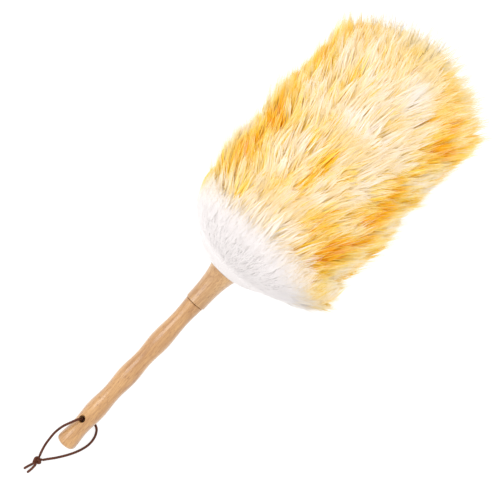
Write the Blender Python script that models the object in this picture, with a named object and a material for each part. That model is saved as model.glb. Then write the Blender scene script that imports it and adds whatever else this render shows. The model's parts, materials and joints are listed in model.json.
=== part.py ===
"""Lambswool duster lying on a table.

A turned wooden handle carries a leather hang loop and ends in a threaded stud. A flared
wooden collar screws onto the stud. It holds a dowel wound with a strip of sheepskin, whose
long wool makes the duster's head. Lengths are in metres, and +Z is up.
"""

import math

import bmesh
import bpy
import numpy as np
from mathutils import Matrix, Vector

# Fits
CLEARANCE = 0.0003
OVERRUN = 0.004
MERGE_DISTANCE = 0.000001

# How finely round pieces are cut
TURNED_SEGMENTS = 40
SMALL_SEGMENTS = 24
CURVE_STEPS = 6
FLARE_STEPS = 12
LACE_SAMPLES = 24
SMOOTH_ANGLE = math.radians(32)

# The duster lies on its butt and its wool, with the head raised
TILT = math.radians(6.5)

# Handle: a wavy grip of equal lobes, then a slim neck that flares to the front face
BULGE_RADIUS = 0.01175
WAIST_RADIUS = 0.01015
LOBES = 3
LOBE_PITCH = 0.054
NECK_RUN = 0.034
NECK_RADIUS = 0.0100
END_FLARE_RUN = 0.024
HANDLE_END_RADIUS = 0.0113
HANDLE_END_ROUNDING = 0.0005
BUTT_DOME = 0.0008
BUTT_ROUNDING = 0.0042
HANDLE_LENGTH = LOBES * LOBE_PITCH + NECK_RUN + END_FLARE_RUN

# Cord hole, drilled across the grip and leaning to the left
HOLE_FROM_BUTT = 0.038
HOLE_RADIUS = 0.0042
HOLE_RIM = 0.0009
HOLE_LEAN = math.radians(25)

# Threaded stud, glued into the handle; the head comes off it in so many turns
STUD_RADIUS = 0.0040
STUD_IN_HANDLE = 0.028
STUD_CHAMFER = 0.0009
THREAD_PITCH = 0.00125
TURNS_TO_FREE = 12
LAST_ENGAGEMENT = 0.0010
STUD_PROUD = TURNS_TO_FREE * THREAD_PITCH + LAST_ENGAGEMENT

# Washer, let into the collar's foot
SEAM_GAP = 0.0006
WASHER_RADIUS = 0.0082
WASHER_THICKNESS = 0.0012

# Collar, a turned flare between the handle and the wool
COLLAR_LENGTH = 0.050
COLLAR_FOOT_RADIUS = 0.0124
COLLAR_MOUTH_RADIUS = 0.0183
COLLAR_FLARE_POWER = 2.75
COLLAR_FOOT_ROUNDING = 0.0008
COLLAR_MOUTH_ROUNDING = 0.0006
COLLAR_WEB = 0.006

# Brass insert in the collar's foot
INSERT_RADIUS = 0.0060
INSERT_FLANGE_RADIUS = 0.0074
INSERT_FLANGE_THICKNESS = 0.0009
INSERT_BEYOND_STUD = 0.0010

# Dowel that carries the sheepskin
ROD_RADIUS = 0.0070
ROD_REACH = 0.305
ROD_CHAMFER = 0.0012

# Sheepskin strip, wound in a spiral round the dowel
PELT_THICKNESS = 0.0025
PELT_WIDTH = 0.040
PELT_GAP = 0.0020
PELT_END_MARGIN = 0.003
PELT_STEPS_PER_TURN = 24

# Tacks that hold the strip's two ends
TACK_HEAD_RADIUS = 0.0022
TACK_HEAD_THICKNESS = 0.0008
TACK_SHANK_RADIUS = 0.0007
TACK_LENGTH = 0.0066
TACK_POINT = 0.0020
TACK_FROM_END = math.radians(40)
TACK_APART = math.radians(180)

# Wool
WOOL_RADIUS = 0.1010
WOOL_PAST_ROD = 0.031
WOOL_BASE_DEPTH = 0.052
WOOL_TIP_DEPTH = 0.066
WOOL_LAP = 0.004
WOOL_SIDE_LEAN = 0.0080
WOOL_BASE_POWER = 1.2
WOOL_TIP_POWER = 1.7
BASE_RING_SHARES = (0.04, 0.14, 0.30, 0.48, 0.66, 0.84, 1.00)
BARREL_RINGS = 15
TIP_RING_SHARES = (0.22, 0.42, 0.60, 0.76, 0.89, 0.97)

# The wool's reach on its left and right, as shares of its radius, at shares of its length
WOOL_REACH_SHARES = (
    (0.034, 0.950, 0.900),
    (0.084, 0.930, 0.970),
    (0.110, 0.920, 1.000),
    (0.160, 0.850, 0.965),
    (0.210, 0.895, 0.920),
    (0.260, 0.910, 0.905),
    (0.333, 1.000, 0.955),
    (0.436, 0.945, 1.000),
    (0.525, 0.955, 0.910),
    (0.586, 1.000, 0.965),
    (0.660, 0.917, 0.917),
    (0.710, 0.926, 0.954),
    (0.786, 0.917, 0.945),
    (0.836, 0.975, 0.946),
    (0.863, 0.925, 0.996),
    (0.913, 0.908, 1.000),
    (0.963, 0.930, 1.000),
)

# Staggered swells of the pile on the wool's upper and lower sides, in rows that wander
SWELL_HEIGHT = 0.0030
SWELLS_ALONG = 5.0
SWELLS_AROUND = 8
SWELL_FADE_SHARES = (0.15, 0.24, 0.86, 0.95)
ROW_WANDER_SHARE = 0.16
ROW_WANDER_WAVES = 3
ROW_WANDER_START = 1.0
COLUMN_WANDER_SHARE = 0.22
COLUMN_WANDER_WAVES = 2.6

# Leather lace of the hang loop
LACE_RADIUS = 0.00145
LACE_IN_HOLE_OFFSET = HOLE_RADIUS - LACE_RADIUS - CLEARANCE
LACE_POINT_SPACING = 0.0050
KNOT_RADII = (0.0052, 0.0056, 0.0036)
KNOT_CLEARANCE = 0.0004

# The lace's route from the middle of the hole: X towards the head, Y to the left, Z up
FRONT_LACE_ROUTE = (
    (-0.0033, 0.0067, 0.0102),
    (-0.0049, 0.00775, 0.0122),
    (-0.0078, 0.0092, 0.0134),
    (-0.0119, 0.0109, 0.0128),
    (-0.0164, 0.0126, 0.0103),
    (-0.0219, 0.0144, 0.0067),
    (-0.0286, 0.0157, 0.0021),
    (-0.0363, 0.0164, -0.0023),
    (-0.0455, 0.0160, -0.0064),
    (-0.0541, 0.0151, -0.0094),
    (-0.0625, 0.0132, -0.0111),
    (-0.0690, 0.0110, -0.0116),
)
BACK_LACE_ROUTE = (
    (-0.0005, -0.0037, -0.01125),
    (-0.0002, -0.0050, -0.01245),
    (0.0000, -0.0066, -0.01325),
    (0.0000, -0.0087, -0.01365),
    (-0.0005, -0.0116, -0.01375),
    (-0.0019, -0.0144, -0.01375),
    (-0.0044, -0.0170, -0.01375),
    (-0.0110, -0.0202, -0.01375),
    (-0.0204, -0.0212, -0.01375),
    (-0.0304, -0.0191, -0.01375),
    (-0.0424, -0.0139, -0.01375),
    (-0.0562, -0.0052, -0.01360),
    (-0.0665, 0.0030, -0.01250),
)
KNOT_PLACE = (-0.0746, 0.0091, -0.01165)
UPPER_TAIL_ROUTE = (
    (-0.0800, 0.0106, -0.0124),
    (-0.0860, 0.0128, -0.0135),
    (-0.0929, 0.0148, -0.01375),
)
LOWER_TAIL_ROUTE = (
    (-0.0800, 0.0078, -0.0128),
    (-0.0868, 0.0079, -0.01370),
    (-0.0938, 0.0090, -0.01375),
)

# Stations along the duster's axis, from the butt
COLLAR_FOOT = HANDLE_LENGTH + SEAM_GAP
COLLAR_MOUTH = COLLAR_FOOT + COLLAR_LENGTH
WASHER_BACK = HANDLE_LENGTH + CLEARANCE
RECESS_FLOOR = WASHER_BACK + WASHER_THICKNESS + CLEARANCE
INSERT_END = HANDLE_LENGTH + STUD_PROUD + INSERT_BEYOND_STUD
WEB_BACK = INSERT_END + CLEARANCE
WEB_FRONT = WEB_BACK + COLLAR_WEB
ROD_BACK = WEB_FRONT + CLEARANCE
ROD_FRONT = COLLAR_MOUTH + ROD_REACH
PELT_INNER_RADIUS = ROD_RADIUS + CLEARANCE
PELT_OUTER_RADIUS = PELT_INNER_RADIUS + PELT_THICKNESS
PELT_BACK = COLLAR_MOUTH + CLEARANCE + PELT_WIDTH / 2
PELT_PITCH = PELT_WIDTH + PELT_GAP
PELT_RUN = ROD_REACH - PELT_END_MARGIN - PELT_WIDTH
PELT_ANGLE = 2 * math.pi * PELT_RUN / PELT_PITCH
WOOL_BACK = COLLAR_MOUTH - WOOL_LAP
WOOL_FRONT = ROD_FRONT + WOOL_PAST_ROD
WOOL_BARREL = WOOL_FRONT - WOOL_BACK - WOOL_BASE_DEPTH - WOOL_TIP_DEPTH
WOOL_BORE_RADIUS = PELT_OUTER_RADIUS + CLEARANCE


def clear_scene():
    for old in list(bpy.data.objects):
        bpy.data.objects.remove(old, do_unlink=True)


def make_material(name, colour, roughness, metallic=0.0):
    material = bpy.data.materials.new(name)
    material.use_nodes = True
    shader = material.node_tree.nodes["Principled BSDF"]
    shader.inputs["Base Color"].default_value = (*colour, 1.0)
    shader.inputs["Roughness"].default_value = roughness
    shader.inputs["Metallic"].default_value = metallic
    material.diffuse_color = (*colour, 1.0)
    return material


def make_empty(name, parent, matrix):
    empty = bpy.data.objects.new(name, None)
    bpy.context.collection.objects.link(empty)
    empty.parent = parent
    empty.matrix_local = matrix
    return empty


def place(name, mesh, parent, material, matrix=None):
    """Link a finished mesh as one named, smooth-shaded object under its parent."""
    mesh.shade_smooth()
    mesh.set_sharp_from_angle(angle=SMOOTH_ANGLE)
    obj = bpy.data.objects.new(name, mesh)
    bpy.context.collection.objects.link(obj)
    obj.parent = parent
    if matrix is not None:
        obj.matrix_local = matrix
    if material is not None:
        mesh.materials.append(material)
    return obj


def turned_mesh(name, outline, segments):
    """Spin an outline of (radius, height) points round local Z into a closed solid."""
    bm = bmesh.new()
    verts = [bm.verts.new((radius, 0.0, height)) for radius, height in outline]
    edges = [bm.edges.new(pair) for pair in zip(verts, verts[1:])]
    if outline[0][0] > 0 and outline[-1][0] > 0:
        edges.append(bm.edges.new((verts[-1], verts[0])))
    bmesh.ops.spin(bm, geom=verts + edges, cent=(0, 0, 0), axis=(0, 0, 1),
                   angle=2 * math.pi, steps=segments, use_merge=True)
    bmesh.ops.remove_doubles(bm, verts=bm.verts, dist=MERGE_DISTANCE)
    bmesh.ops.recalc_face_normals(bm, faces=bm.faces)
    mesh = bpy.data.meshes.new(name)
    bm.to_mesh(mesh)
    bm.free()
    return mesh


def lofted_mesh(name, rings):
    """Bridge rings of points, each an array or one pole point, into a closed solid."""
    bm = bmesh.new()
    rows = [[bm.verts.new(point) for point in ring] for ring in rings]
    for lower, upper in zip(rows, rows[1:]):
        count = max(len(lower), len(upper))
        for i in range(count):
            j = (i + 1) % count
            corners = [lower[i % len(lower)], lower[j % len(lower)],
                       upper[j % len(upper)], upper[i % len(upper)]]
            bm.faces.new(list(dict.fromkeys(corners)))
    bmesh.ops.recalc_face_normals(bm, faces=bm.faces)
    mesh = bpy.data.meshes.new(name)
    bm.to_mesh(mesh)
    bm.free()
    return mesh


def cut(obj, cutter, label):
    """Take the cutter's shape out of the object, and show the cutter only as a guide."""
    boolean = obj.modifiers.new(label, "BOOLEAN")
    boolean.operation = "DIFFERENCE"
    boolean.solver = "EXACT"
    boolean.object = cutter
    cutter.hide_render = True
    cutter.display_type = "WIRE"


def rounded_corner(centre_radius, centre_height, radius_reach, height_reach, start, end):
    """Points on a quarter of an ellipse round an outline's corner."""
    angles = np.linspace(start, end, CURVE_STEPS)
    return [(centre_radius + radius_reach * math.cos(angle),
             centre_height + height_reach * math.sin(angle)) for angle in angles]


def grip_stations():
    """Distance from the butt and radius where the grip is widest, slimmest or ends."""
    stations = [(BUTT_DOME + BUTT_ROUNDING, BULGE_RADIUS)]
    for lobe in range(1, LOBES + 1):
        stations.append((lobe * LOBE_PITCH - LOBE_PITCH / 2, WAIST_RADIUS))
        stations.append((lobe * LOBE_PITCH, BULGE_RADIUS))
    stations.append((LOBES * LOBE_PITCH + NECK_RUN, NECK_RADIUS))
    return stations


def grip_outline():
    """The handle's side: cosine waves between the stations, then a flare that keeps opening."""
    outline = []
    stations = grip_stations()
    for (start, first), (end, second) in zip(stations, stations[1:]):
        for step in range(CURVE_STEPS):
            share = step / CURVE_STEPS
            wave = (1 - math.cos(math.pi * share)) / 2
            outline.append((first + (second - first) * wave, start + (end - start) * share))
    neck, neck_radius = stations[-1]
    flare_end = HANDLE_LENGTH - HANDLE_END_ROUNDING
    for step in range(CURVE_STEPS + 1):
        share = step / CURVE_STEPS
        opening = 1 - math.cos(math.pi * share / 2)
        radius = neck_radius + (HANDLE_END_RADIUS - neck_radius) * opening
        outline.append((radius, neck + (flare_end - neck) * share))
    return outline


def grip_radius(distance):
    """The handle's radius at a distance from the butt."""
    radii, heights = zip(*grip_outline())
    return float(np.interp(distance, heights, radii))


def collar_radius(distance):
    """The collar's outer radius at a distance from the butt: a flare that steepens."""
    share = max(distance - COLLAR_FOOT, 0.0) / COLLAR_LENGTH
    return COLLAR_FOOT_RADIUS + (COLLAR_MOUTH_RADIUS - COLLAR_FOOT_RADIUS) * share ** COLLAR_FLARE_POWER


def make_handle(axis, wood):
    """Turned handle with a domed butt and a bore for the stud, drilled across for the lace."""
    bore = STUD_RADIUS + CLEARANCE
    outline = [(0.0, 0.0)]
    outline += rounded_corner(BULGE_RADIUS - BUTT_ROUNDING, BUTT_DOME + BUTT_ROUNDING,
                              BUTT_ROUNDING, BUTT_ROUNDING, -math.pi / 2, 0)[:-1]
    outline += grip_outline()
    outline.append((HANDLE_END_RADIUS - HANDLE_END_ROUNDING, HANDLE_LENGTH))
    outline.append((bore, HANDLE_LENGTH))
    outline.append((bore, HANDLE_LENGTH - STUD_IN_HANDLE - CLEARANCE))
    outline.append((0.0, HANDLE_LENGTH - STUD_IN_HANDLE - CLEARANCE))
    handle = place("handle", turned_mesh("handle", outline, TURNED_SEGMENTS), axis, wood)
    cut(handle, make_hole_cutter(axis), "cord_hole")
    return handle


def hole_matrix():
    """Where the cord hole's middle is, with local Z along the drilling, in the axis frame."""
    return Matrix.Translation((0, 0, HOLE_FROM_BUTT)) @ hole_turn()


def hole_turn():
    """The turn from the duster's axis to the cord hole's own axis."""
    upright = Matrix.Rotation(math.pi / 2, 4, "Y")
    lean = Matrix.Rotation(-HOLE_LEAN, 4, "Z")
    return lean @ upright


def make_hole_cutter(axis):
    """A drill with a countersink at each end of the hole."""
    side = grip_radius(HOLE_FROM_BUTT) - HOLE_RIM
    reach = BULGE_RADIUS + OVERRUN
    flare = HOLE_RADIUS + reach - side
    outline = [(0.0, -reach), (flare, -reach), (HOLE_RADIUS, -side),
               (HOLE_RADIUS, side), (flare, reach), (0.0, reach)]
    mesh = turned_mesh("cord_hole_drill", outline, TURNED_SEGMENTS)
    return place("cord_hole_drill", mesh, axis, None, hole_matrix())


def make_stud(axis, steel):
    """Stud with chamfered ends, half in the handle and half proud of it."""
    back = HANDLE_LENGTH - STUD_IN_HANDLE
    front = HANDLE_LENGTH + STUD_PROUD
    tip = STUD_RADIUS - STUD_CHAMFER
    outline = [(0.0, back), (tip, back), (STUD_RADIUS, back + STUD_CHAMFER),
               (STUD_RADIUS, front - STUD_CHAMFER), (tip, front), (0.0, front)]
    return place("hanger_stud", turned_mesh("hanger_stud", outline, SMALL_SEGMENTS), axis, steel)


def make_washer(axis, steel):
    """Flat washer round the stud, in the collar's recess."""
    bore = STUD_RADIUS + CLEARANCE
    front = WASHER_BACK + WASHER_THICKNESS
    outline = [(bore, WASHER_BACK), (WASHER_RADIUS, WASHER_BACK),
               (WASHER_RADIUS, front), (bore, front)]
    return place("seat_washer", turned_mesh("seat_washer", outline, TURNED_SEGMENTS), axis, steel)


def make_collar(axis, wood):
    """Flared collar: washer recess and insert pocket in its foot, dowel socket in its mouth."""
    foot = COLLAR_FOOT_RADIUS - COLLAR_FOOT_ROUNDING
    mouth = COLLAR_MOUTH_RADIUS - COLLAR_MOUTH_ROUNDING
    recess = WASHER_RADIUS + CLEARANCE
    flange = INSERT_FLANGE_RADIUS + CLEARANCE
    flange_floor = RECESS_FLOOR + INSERT_FLANGE_THICKNESS + CLEARANCE
    pocket = INSERT_RADIUS + CLEARANCE
    socket = ROD_RADIUS + CLEARANCE
    outline = [(0.0, WEB_BACK), (pocket, WEB_BACK), (pocket, flange_floor), (flange, flange_floor),
               (flange, RECESS_FLOOR), (recess, RECESS_FLOOR), (recess, COLLAR_FOOT)]
    outline += rounded_corner(foot, COLLAR_FOOT + COLLAR_FOOT_ROUNDING, COLLAR_FOOT_ROUNDING,
                              COLLAR_FOOT_ROUNDING, -math.pi / 2, 0)
    side_start = COLLAR_FOOT + COLLAR_FOOT_ROUNDING
    side_end = COLLAR_MOUTH - COLLAR_MOUTH_ROUNDING
    for distance in np.linspace(side_start, side_end, FLARE_STEPS)[1:]:
        outline.append((collar_radius(float(distance)), float(distance)))
    outline += [(mouth, COLLAR_MOUTH), (socket, COLLAR_MOUTH), (socket, WEB_FRONT), (0.0, WEB_FRONT)]
    return place("collar", turned_mesh("collar", outline, TURNED_SEGMENTS), axis, wood)


def make_insert(axis, brass):
    """Flanged sleeve that the stud screws into, flush with the washer recess."""
    bore = STUD_RADIUS + CLEARANCE
    flange_front = RECESS_FLOOR + INSERT_FLANGE_THICKNESS
    outline = [(bore, RECESS_FLOOR), (INSERT_FLANGE_RADIUS, RECESS_FLOOR),
               (INSERT_FLANGE_RADIUS, flange_front), (INSERT_RADIUS, flange_front),
               (INSERT_RADIUS, INSERT_END), (bore, INSERT_END)]
    mesh = turned_mesh("threaded_insert", outline, SMALL_SEGMENTS)
    return place("threaded_insert", mesh, axis, brass)


def make_rod(axis, wood):
    """Plain dowel from the collar's socket to inside the wool's tip."""
    chamfered = ROD_RADIUS - ROD_CHAMFER
    outline = [(0.0, ROD_BACK), (chamfered, ROD_BACK), (ROD_RADIUS, ROD_BACK + ROD_CHAMFER),
               (ROD_RADIUS, ROD_FRONT - ROD_CHAMFER), (chamfered, ROD_FRONT), (0.0, ROD_FRONT)]
    return place("core_rod", turned_mesh("core_rod", outline, SMALL_SEGMENTS), axis, wood)


def make_pelt(axis, skin):
    """Flat strip swept along a spiral: its middle climbs one pitch in each turn."""
    steps = math.ceil(PELT_STEPS_PER_TURN * PELT_ANGLE / (2 * math.pi))
    angles = np.linspace(0.0, PELT_ANGLE, steps + 1)
    middles = PELT_BACK + PELT_PITCH * angles / (2 * math.pi)
    bm = bmesh.new()
    sections = []
    for angle, middle in zip(angles, middles):
        outward = Vector((math.cos(angle), math.sin(angle), 0))
        corners = ((PELT_INNER_RADIUS, -PELT_WIDTH / 2), (PELT_OUTER_RADIUS, -PELT_WIDTH / 2),
                   (PELT_OUTER_RADIUS, PELT_WIDTH / 2), (PELT_INNER_RADIUS, PELT_WIDTH / 2))
        sections.append([bm.verts.new(outward * radius + Vector((0, 0, middle + side)))
                         for radius, side in corners])
    bm.faces.new(sections[0])
    bm.faces.new(sections[-1])
    for near, far in zip(sections, sections[1:]):
        for corner in range(len(near)):
            following = (corner + 1) % len(near)
            bm.faces.new((near[corner], near[following], far[following], far[corner]))
    bmesh.ops.recalc_face_normals(bm, faces=bm.faces)
    mesh = bpy.data.meshes.new("pelt_strip")
    bm.to_mesh(mesh)
    bm.free()
    return place("pelt_strip", mesh, axis, skin)


def tack_outline(gap, head_reach):
    """A tack along local Z, its head up, grown by a gap, with the head's top at head_reach."""
    neck = -TACK_HEAD_THICKNESS - gap
    point_start = TACK_POINT - TACK_LENGTH
    return [(0.0, -TACK_LENGTH - gap), (TACK_SHANK_RADIUS + gap, point_start - gap),
            (TACK_SHANK_RADIUS + gap, neck), (TACK_HEAD_RADIUS + gap, neck),
            (TACK_HEAD_RADIUS + gap, head_reach), (0.0, head_reach)]


def make_tacks(axis, steel, pelt, rod):
    """Two tacks at each end of the strip, sunk into it and driven into the dowel."""
    ends = (TACK_FROM_END, TACK_FROM_END + TACK_APART,
            PELT_ANGLE - TACK_FROM_END - TACK_APART, PELT_ANGLE - TACK_FROM_END)
    sunk = PELT_OUTER_RADIUS * math.cos(math.pi / PELT_STEPS_PER_TURN) - CLEARANCE
    for number, angle in enumerate(ends, start=1):
        middle = PELT_BACK + PELT_PITCH * angle / (2 * math.pi)
        matrix = (Matrix.Translation((0, 0, middle)) @ Matrix.Rotation(angle, 4, "Z")
                  @ Matrix.Translation((sunk, 0, 0)) @ Matrix.Rotation(math.pi / 2, 4, "Y"))
        name = f"pelt_tack_{number}"
        place(name, turned_mesh(name, tack_outline(0.0, 0.0), SMALL_SEGMENTS), axis, steel, matrix)
        hole = turned_mesh(f"{name}_hole", tack_outline(CLEARANCE, OVERRUN), SMALL_SEGMENTS)
        cutter = place(f"{name}_hole", hole, axis, None, matrix)
        cut(pelt, cutter, name)
        cut(rod, cutter, name)


def wool_rings():
    """Distance from the butt and radius of the wool's outer rings: base, barrel and tip."""
    lip = collar_radius(WOOL_BACK) + CLEARANCE
    rings = []
    for share in BASE_RING_SHARES:
        opened = (1 - (1 - share) ** WOOL_BASE_POWER) ** (1 / WOOL_BASE_POWER)
        rings.append((WOOL_BACK + WOOL_BASE_DEPTH * share, lip + (WOOL_RADIUS - lip) * opened))
    barrel_start = WOOL_BACK + WOOL_BASE_DEPTH
    for ring in range(1, BARREL_RINGS + 1):
        rings.append((barrel_start + WOOL_BARREL * ring / BARREL_RINGS, WOOL_RADIUS))
    tip_start = barrel_start + WOOL_BARREL
    for share in TIP_RING_SHARES:
        closed = (1 - share ** WOOL_TIP_POWER) ** (1 / WOOL_TIP_POWER)
        rings.append((tip_start + WOOL_TIP_DEPTH * share, WOOL_RADIUS * closed))
    return rings


def wool_lean(distance):
    """How far the wool's middle hangs to one side, growing smoothly over its base."""
    share = min(max((distance - WOOL_BACK) / WOOL_BASE_DEPTH, 0.0), 1.0)
    return WOOL_SIDE_LEAN * (1 - math.cos(math.pi * share)) / 2


def wool_reach(share, angle):
    """The wool's reach as a share of its radius, from its left side round to its right."""
    places, left, right = np.array(WOOL_REACH_SHARES).T
    on_right = (1 + math.sin(angle)) / 2
    return np.interp(share, places, left) * (1 - on_right) + np.interp(share, places, right) * on_right


def wool_swell(share, angle):
    """Height of the staggered swells: a wave along the wool times a wave round it."""
    along = SWELLS_ALONG * share + ROW_WANDER_SHARE * math.sin(ROW_WANDER_WAVES * angle
                                                               + ROW_WANDER_START)
    around = (SWELLS_AROUND * angle / (2 * math.pi)
              + COLUMN_WANDER_SHARE * math.sin(2 * math.pi * COLUMN_WANDER_WAVES * share))
    fade = np.interp(share, SWELL_FADE_SHARES, (0.0, 1.0, 1.0, 0.0))
    waves = math.cos(2 * math.pi * along) * math.cos(2 * math.pi * around)
    return SWELL_HEIGHT * fade * waves * math.cos(angle) ** 2


def make_fleece(axis, wool, butt_height):
    """The wool as one soft solid: a barrel with a blind bore, pressed flat on the table."""
    angles = np.linspace(0, 2 * math.pi, TURNED_SEGMENTS, endpoint=False)

    def ring(distance, radius):
        return [(radius * math.cos(angle), radius * math.sin(angle), distance)
                for angle in angles]

    def pile_ring(distance, radius):
        share = (distance - WOOL_BACK) / (WOOL_FRONT - WOOL_BACK)
        reaches = [radius * wool_reach(share, angle) + wool_swell(share, angle) for angle in angles]
        return [(reach * math.cos(angle), reach * math.sin(angle) + wool_lean(distance), distance)
                for reach, angle in zip(reaches, angles)]

    rings = [[(0.0, 0.0, ROD_FRONT + CLEARANCE)],
             ring(ROD_FRONT + CLEARANCE, WOOL_BORE_RADIUS),
             ring(COLLAR_MOUTH + CLEARANCE, WOOL_BORE_RADIUS),
             ring(COLLAR_MOUTH + CLEARANCE, COLLAR_MOUTH_RADIUS + CLEARANCE),
             ring(WOOL_BACK, collar_radius(WOOL_BACK) + CLEARANCE)]
    rings += [pile_ring(distance, radius) for distance, radius in wool_rings()]
    rings.append([(0.0, WOOL_SIDE_LEAN, WOOL_FRONT)])
    mesh = lofted_mesh("fleece", rings)
    press_flat(mesh, butt_height)
    return place("fleece", mesh, axis, wool)


def press_flat(mesh, butt_height):
    """Cut the solid level with the table, a plane that leans by the tilt in the axis frame."""
    bm = bmesh.new()
    bm.from_mesh(mesh)
    down = Vector((-math.cos(TILT), 0, -math.sin(TILT)))
    cut_result = bmesh.ops.bisect_plane(bm, geom=bm.verts[:] + bm.edges[:] + bm.faces[:],
                                        dist=MERGE_DISTANCE, plane_co=down * butt_height,
                                        plane_no=down, clear_outer=True)
    rim = [item for item in cut_result["geom_cut"] if isinstance(item, bmesh.types.BMEdge)]
    bmesh.ops.contextual_create(bm, geom=rim)
    bmesh.ops.recalc_face_normals(bm, faces=bm.faces)
    bm.to_mesh(mesh)
    bm.free()


def smooth_curve(route, spacing):
    """Catmull-Rom curve through the route's points, read off at an even spacing."""
    points = np.array(route)
    padded = np.vstack([2 * points[0] - points[1], points, 2 * points[-1] - points[-2]])
    share = np.linspace(0, 1, LACE_SAMPLES, endpoint=False)[:, None]
    pieces = []
    for p0, p1, p2, p3 in zip(padded, padded[1:], padded[2:], padded[3:]):
        pieces.append(0.5 * (2 * p1 + (p2 - p0) * share + (2 * p0 - 5 * p1 + 4 * p2 - p3) * share ** 2
                             + (3 * p1 - p0 - 3 * p2 + p3) * share ** 3))
    dense = np.vstack(pieces + [points[-1:]])
    dense = dense[outside_knot(dense)]
    travelled = np.concatenate([[0], np.cumsum(np.linalg.norm(np.diff(dense, axis=0), axis=1))])
    count = math.ceil(travelled[-1] / spacing) + 1
    even = np.linspace(0, travelled[-1], count)
    return np.column_stack([np.interp(even, travelled, dense[:, axis]) for axis in range(3)])


def outside_knot(points):
    """Which points are clear of the knot."""
    reach = np.array(KNOT_RADII) + KNOT_CLEARANCE
    return np.linalg.norm((points - np.array(KNOT_PLACE)) / reach, axis=1) > 1


def make_lace(name, route, pivot, leather):
    """Round lace along its route, with filled ends."""
    points = smooth_curve(route, LACE_POINT_SPACING)
    curve = bpy.data.curves.new(name, "CURVE")
    curve.dimensions = "3D"
    curve.bevel_depth = LACE_RADIUS
    curve.bevel_resolution = 2
    curve.use_fill_caps = True
    spline = curve.splines.new("POLY")
    spline.points.add(len(points) - 1)
    for target, point in zip(spline.points, points):
        target.co = (*point, 1.0)
    curve.materials.append(leather)
    obj = bpy.data.objects.new(name, curve)
    bpy.context.collection.objects.link(obj)
    obj.parent = pivot
    return obj


def make_knot(pivot, leather):
    """The tied lace's knot as one rounded lump."""
    bm = bmesh.new()
    bmesh.ops.create_uvsphere(bm, u_segments=SMALL_SEGMENTS, v_segments=SMALL_SEGMENTS // 2, radius=1)
    bmesh.ops.scale(bm, vec=KNOT_RADII, verts=bm.verts)
    bmesh.ops.translate(bm, vec=KNOT_PLACE, verts=bm.verts)
    mesh = bpy.data.meshes.new("lace_knot")
    bm.to_mesh(mesh)
    bm.free()
    return place("lace_knot", mesh, pivot, leather)


def make_loop(axis_matrix, root, leather):
    """The hang loop: two runs of lace from the hole to the knot, and the knot's two tails."""
    hole = axis_matrix @ hole_matrix()
    pivot = make_empty("cord_hole_middle", root, Matrix.Translation(hole.to_translation()))
    along = hole.to_3x3() @ Vector((0, 0, 1))
    toward_butt = Vector((-1, 1, 0))
    aside = (toward_butt - along * toward_butt.dot(along)).normalized() * LACE_IN_HOLE_OFFSET
    mouth = grip_radius(HOLE_FROM_BUTT)
    front_in_hole = [aside + along * depth for depth in (CLEARANCE / 2, mouth / 2, mouth - HOLE_RIM)]
    back_in_hole = [aside - along * depth for depth in (CLEARANCE / 2, mouth / 2, mouth - HOLE_RIM)]
    make_lace("lace_front", front_in_hole + [*FRONT_LACE_ROUTE, KNOT_PLACE], pivot, leather)
    make_lace("lace_back", back_in_hole + [*BACK_LACE_ROUTE, KNOT_PLACE], pivot, leather)
    make_knot(pivot, leather)
    make_lace("lace_tail_upper", [KNOT_PLACE, *UPPER_TAIL_ROUTE], pivot, leather)
    make_lace("lace_tail_lower", [KNOT_PLACE, *LOWER_TAIL_ROUTE], pivot, leather)


def resting_butt_height():
    """How high the axis is at the butt when the grip's lowest point touches the table."""
    return max(radius * math.cos(TILT) - distance * math.sin(TILT)
               for radius, distance in grip_outline())


def stand_on_origin(root, objects):
    """Move the root so that the box of these objects has its bottom centre at the origin."""
    bpy.context.view_layer.update()
    depsgraph = bpy.context.evaluated_depsgraph_get()
    corners = []
    for obj in objects:
        evaluated = obj.evaluated_get(depsgraph)
        mesh = evaluated.to_mesh()
        corners += [obj.matrix_world @ vertex.co for vertex in mesh.vertices]
        evaluated.to_mesh_clear()
    points = np.array(corners)
    low, high = points.min(axis=0), points.max(axis=0)
    root.location = (-(low[0] + high[0]) / 2, -(low[1] + high[1]) / 2, -low[2])


def main():
    clear_scene()
    beech = make_material("beech", (0.72, 0.47, 0.26), 0.45)
    steel = make_material("zinc_steel", (0.62, 0.62, 0.60), 0.35, 1.0)
    brass = make_material("brass", (0.72, 0.53, 0.24), 0.35, 1.0)
    skin = make_material("sheepskin", (0.86, 0.80, 0.68), 0.85)
    wool = make_material("wool", (0.97, 0.86, 0.62), 0.95)
    leather = make_material("leather", (0.12, 0.035, 0.016), 0.6)

    root = make_empty("table_origin", None, Matrix.Identity(4))
    butt_height = resting_butt_height()
    along = Vector((math.cos(TILT), 0, math.sin(TILT)))
    upward = Vector((-math.sin(TILT), 0, math.cos(TILT)))
    frame = Matrix((upward, along.cross(upward), along)).transposed().to_4x4()
    axis_matrix = Matrix.Translation((0, 0, butt_height)) @ frame
    axis = make_empty("duster_axis", root, axis_matrix)

    handle = make_handle(axis, beech)
    make_stud(axis, steel)
    make_washer(axis, steel)
    make_collar(axis, beech)
    make_insert(axis, brass)
    rod = make_rod(axis, beech)
    pelt = make_pelt(axis, skin)
    make_tacks(axis, steel, pelt, rod)
    fleece = make_fleece(axis, wool, butt_height)
    make_loop(axis_matrix, root, leather)
    stand_on_origin(root, [handle, fleece])


main()
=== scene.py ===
import json
import math

import bpy
import numpy as np
from mathutils import Matrix, Vector


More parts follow.
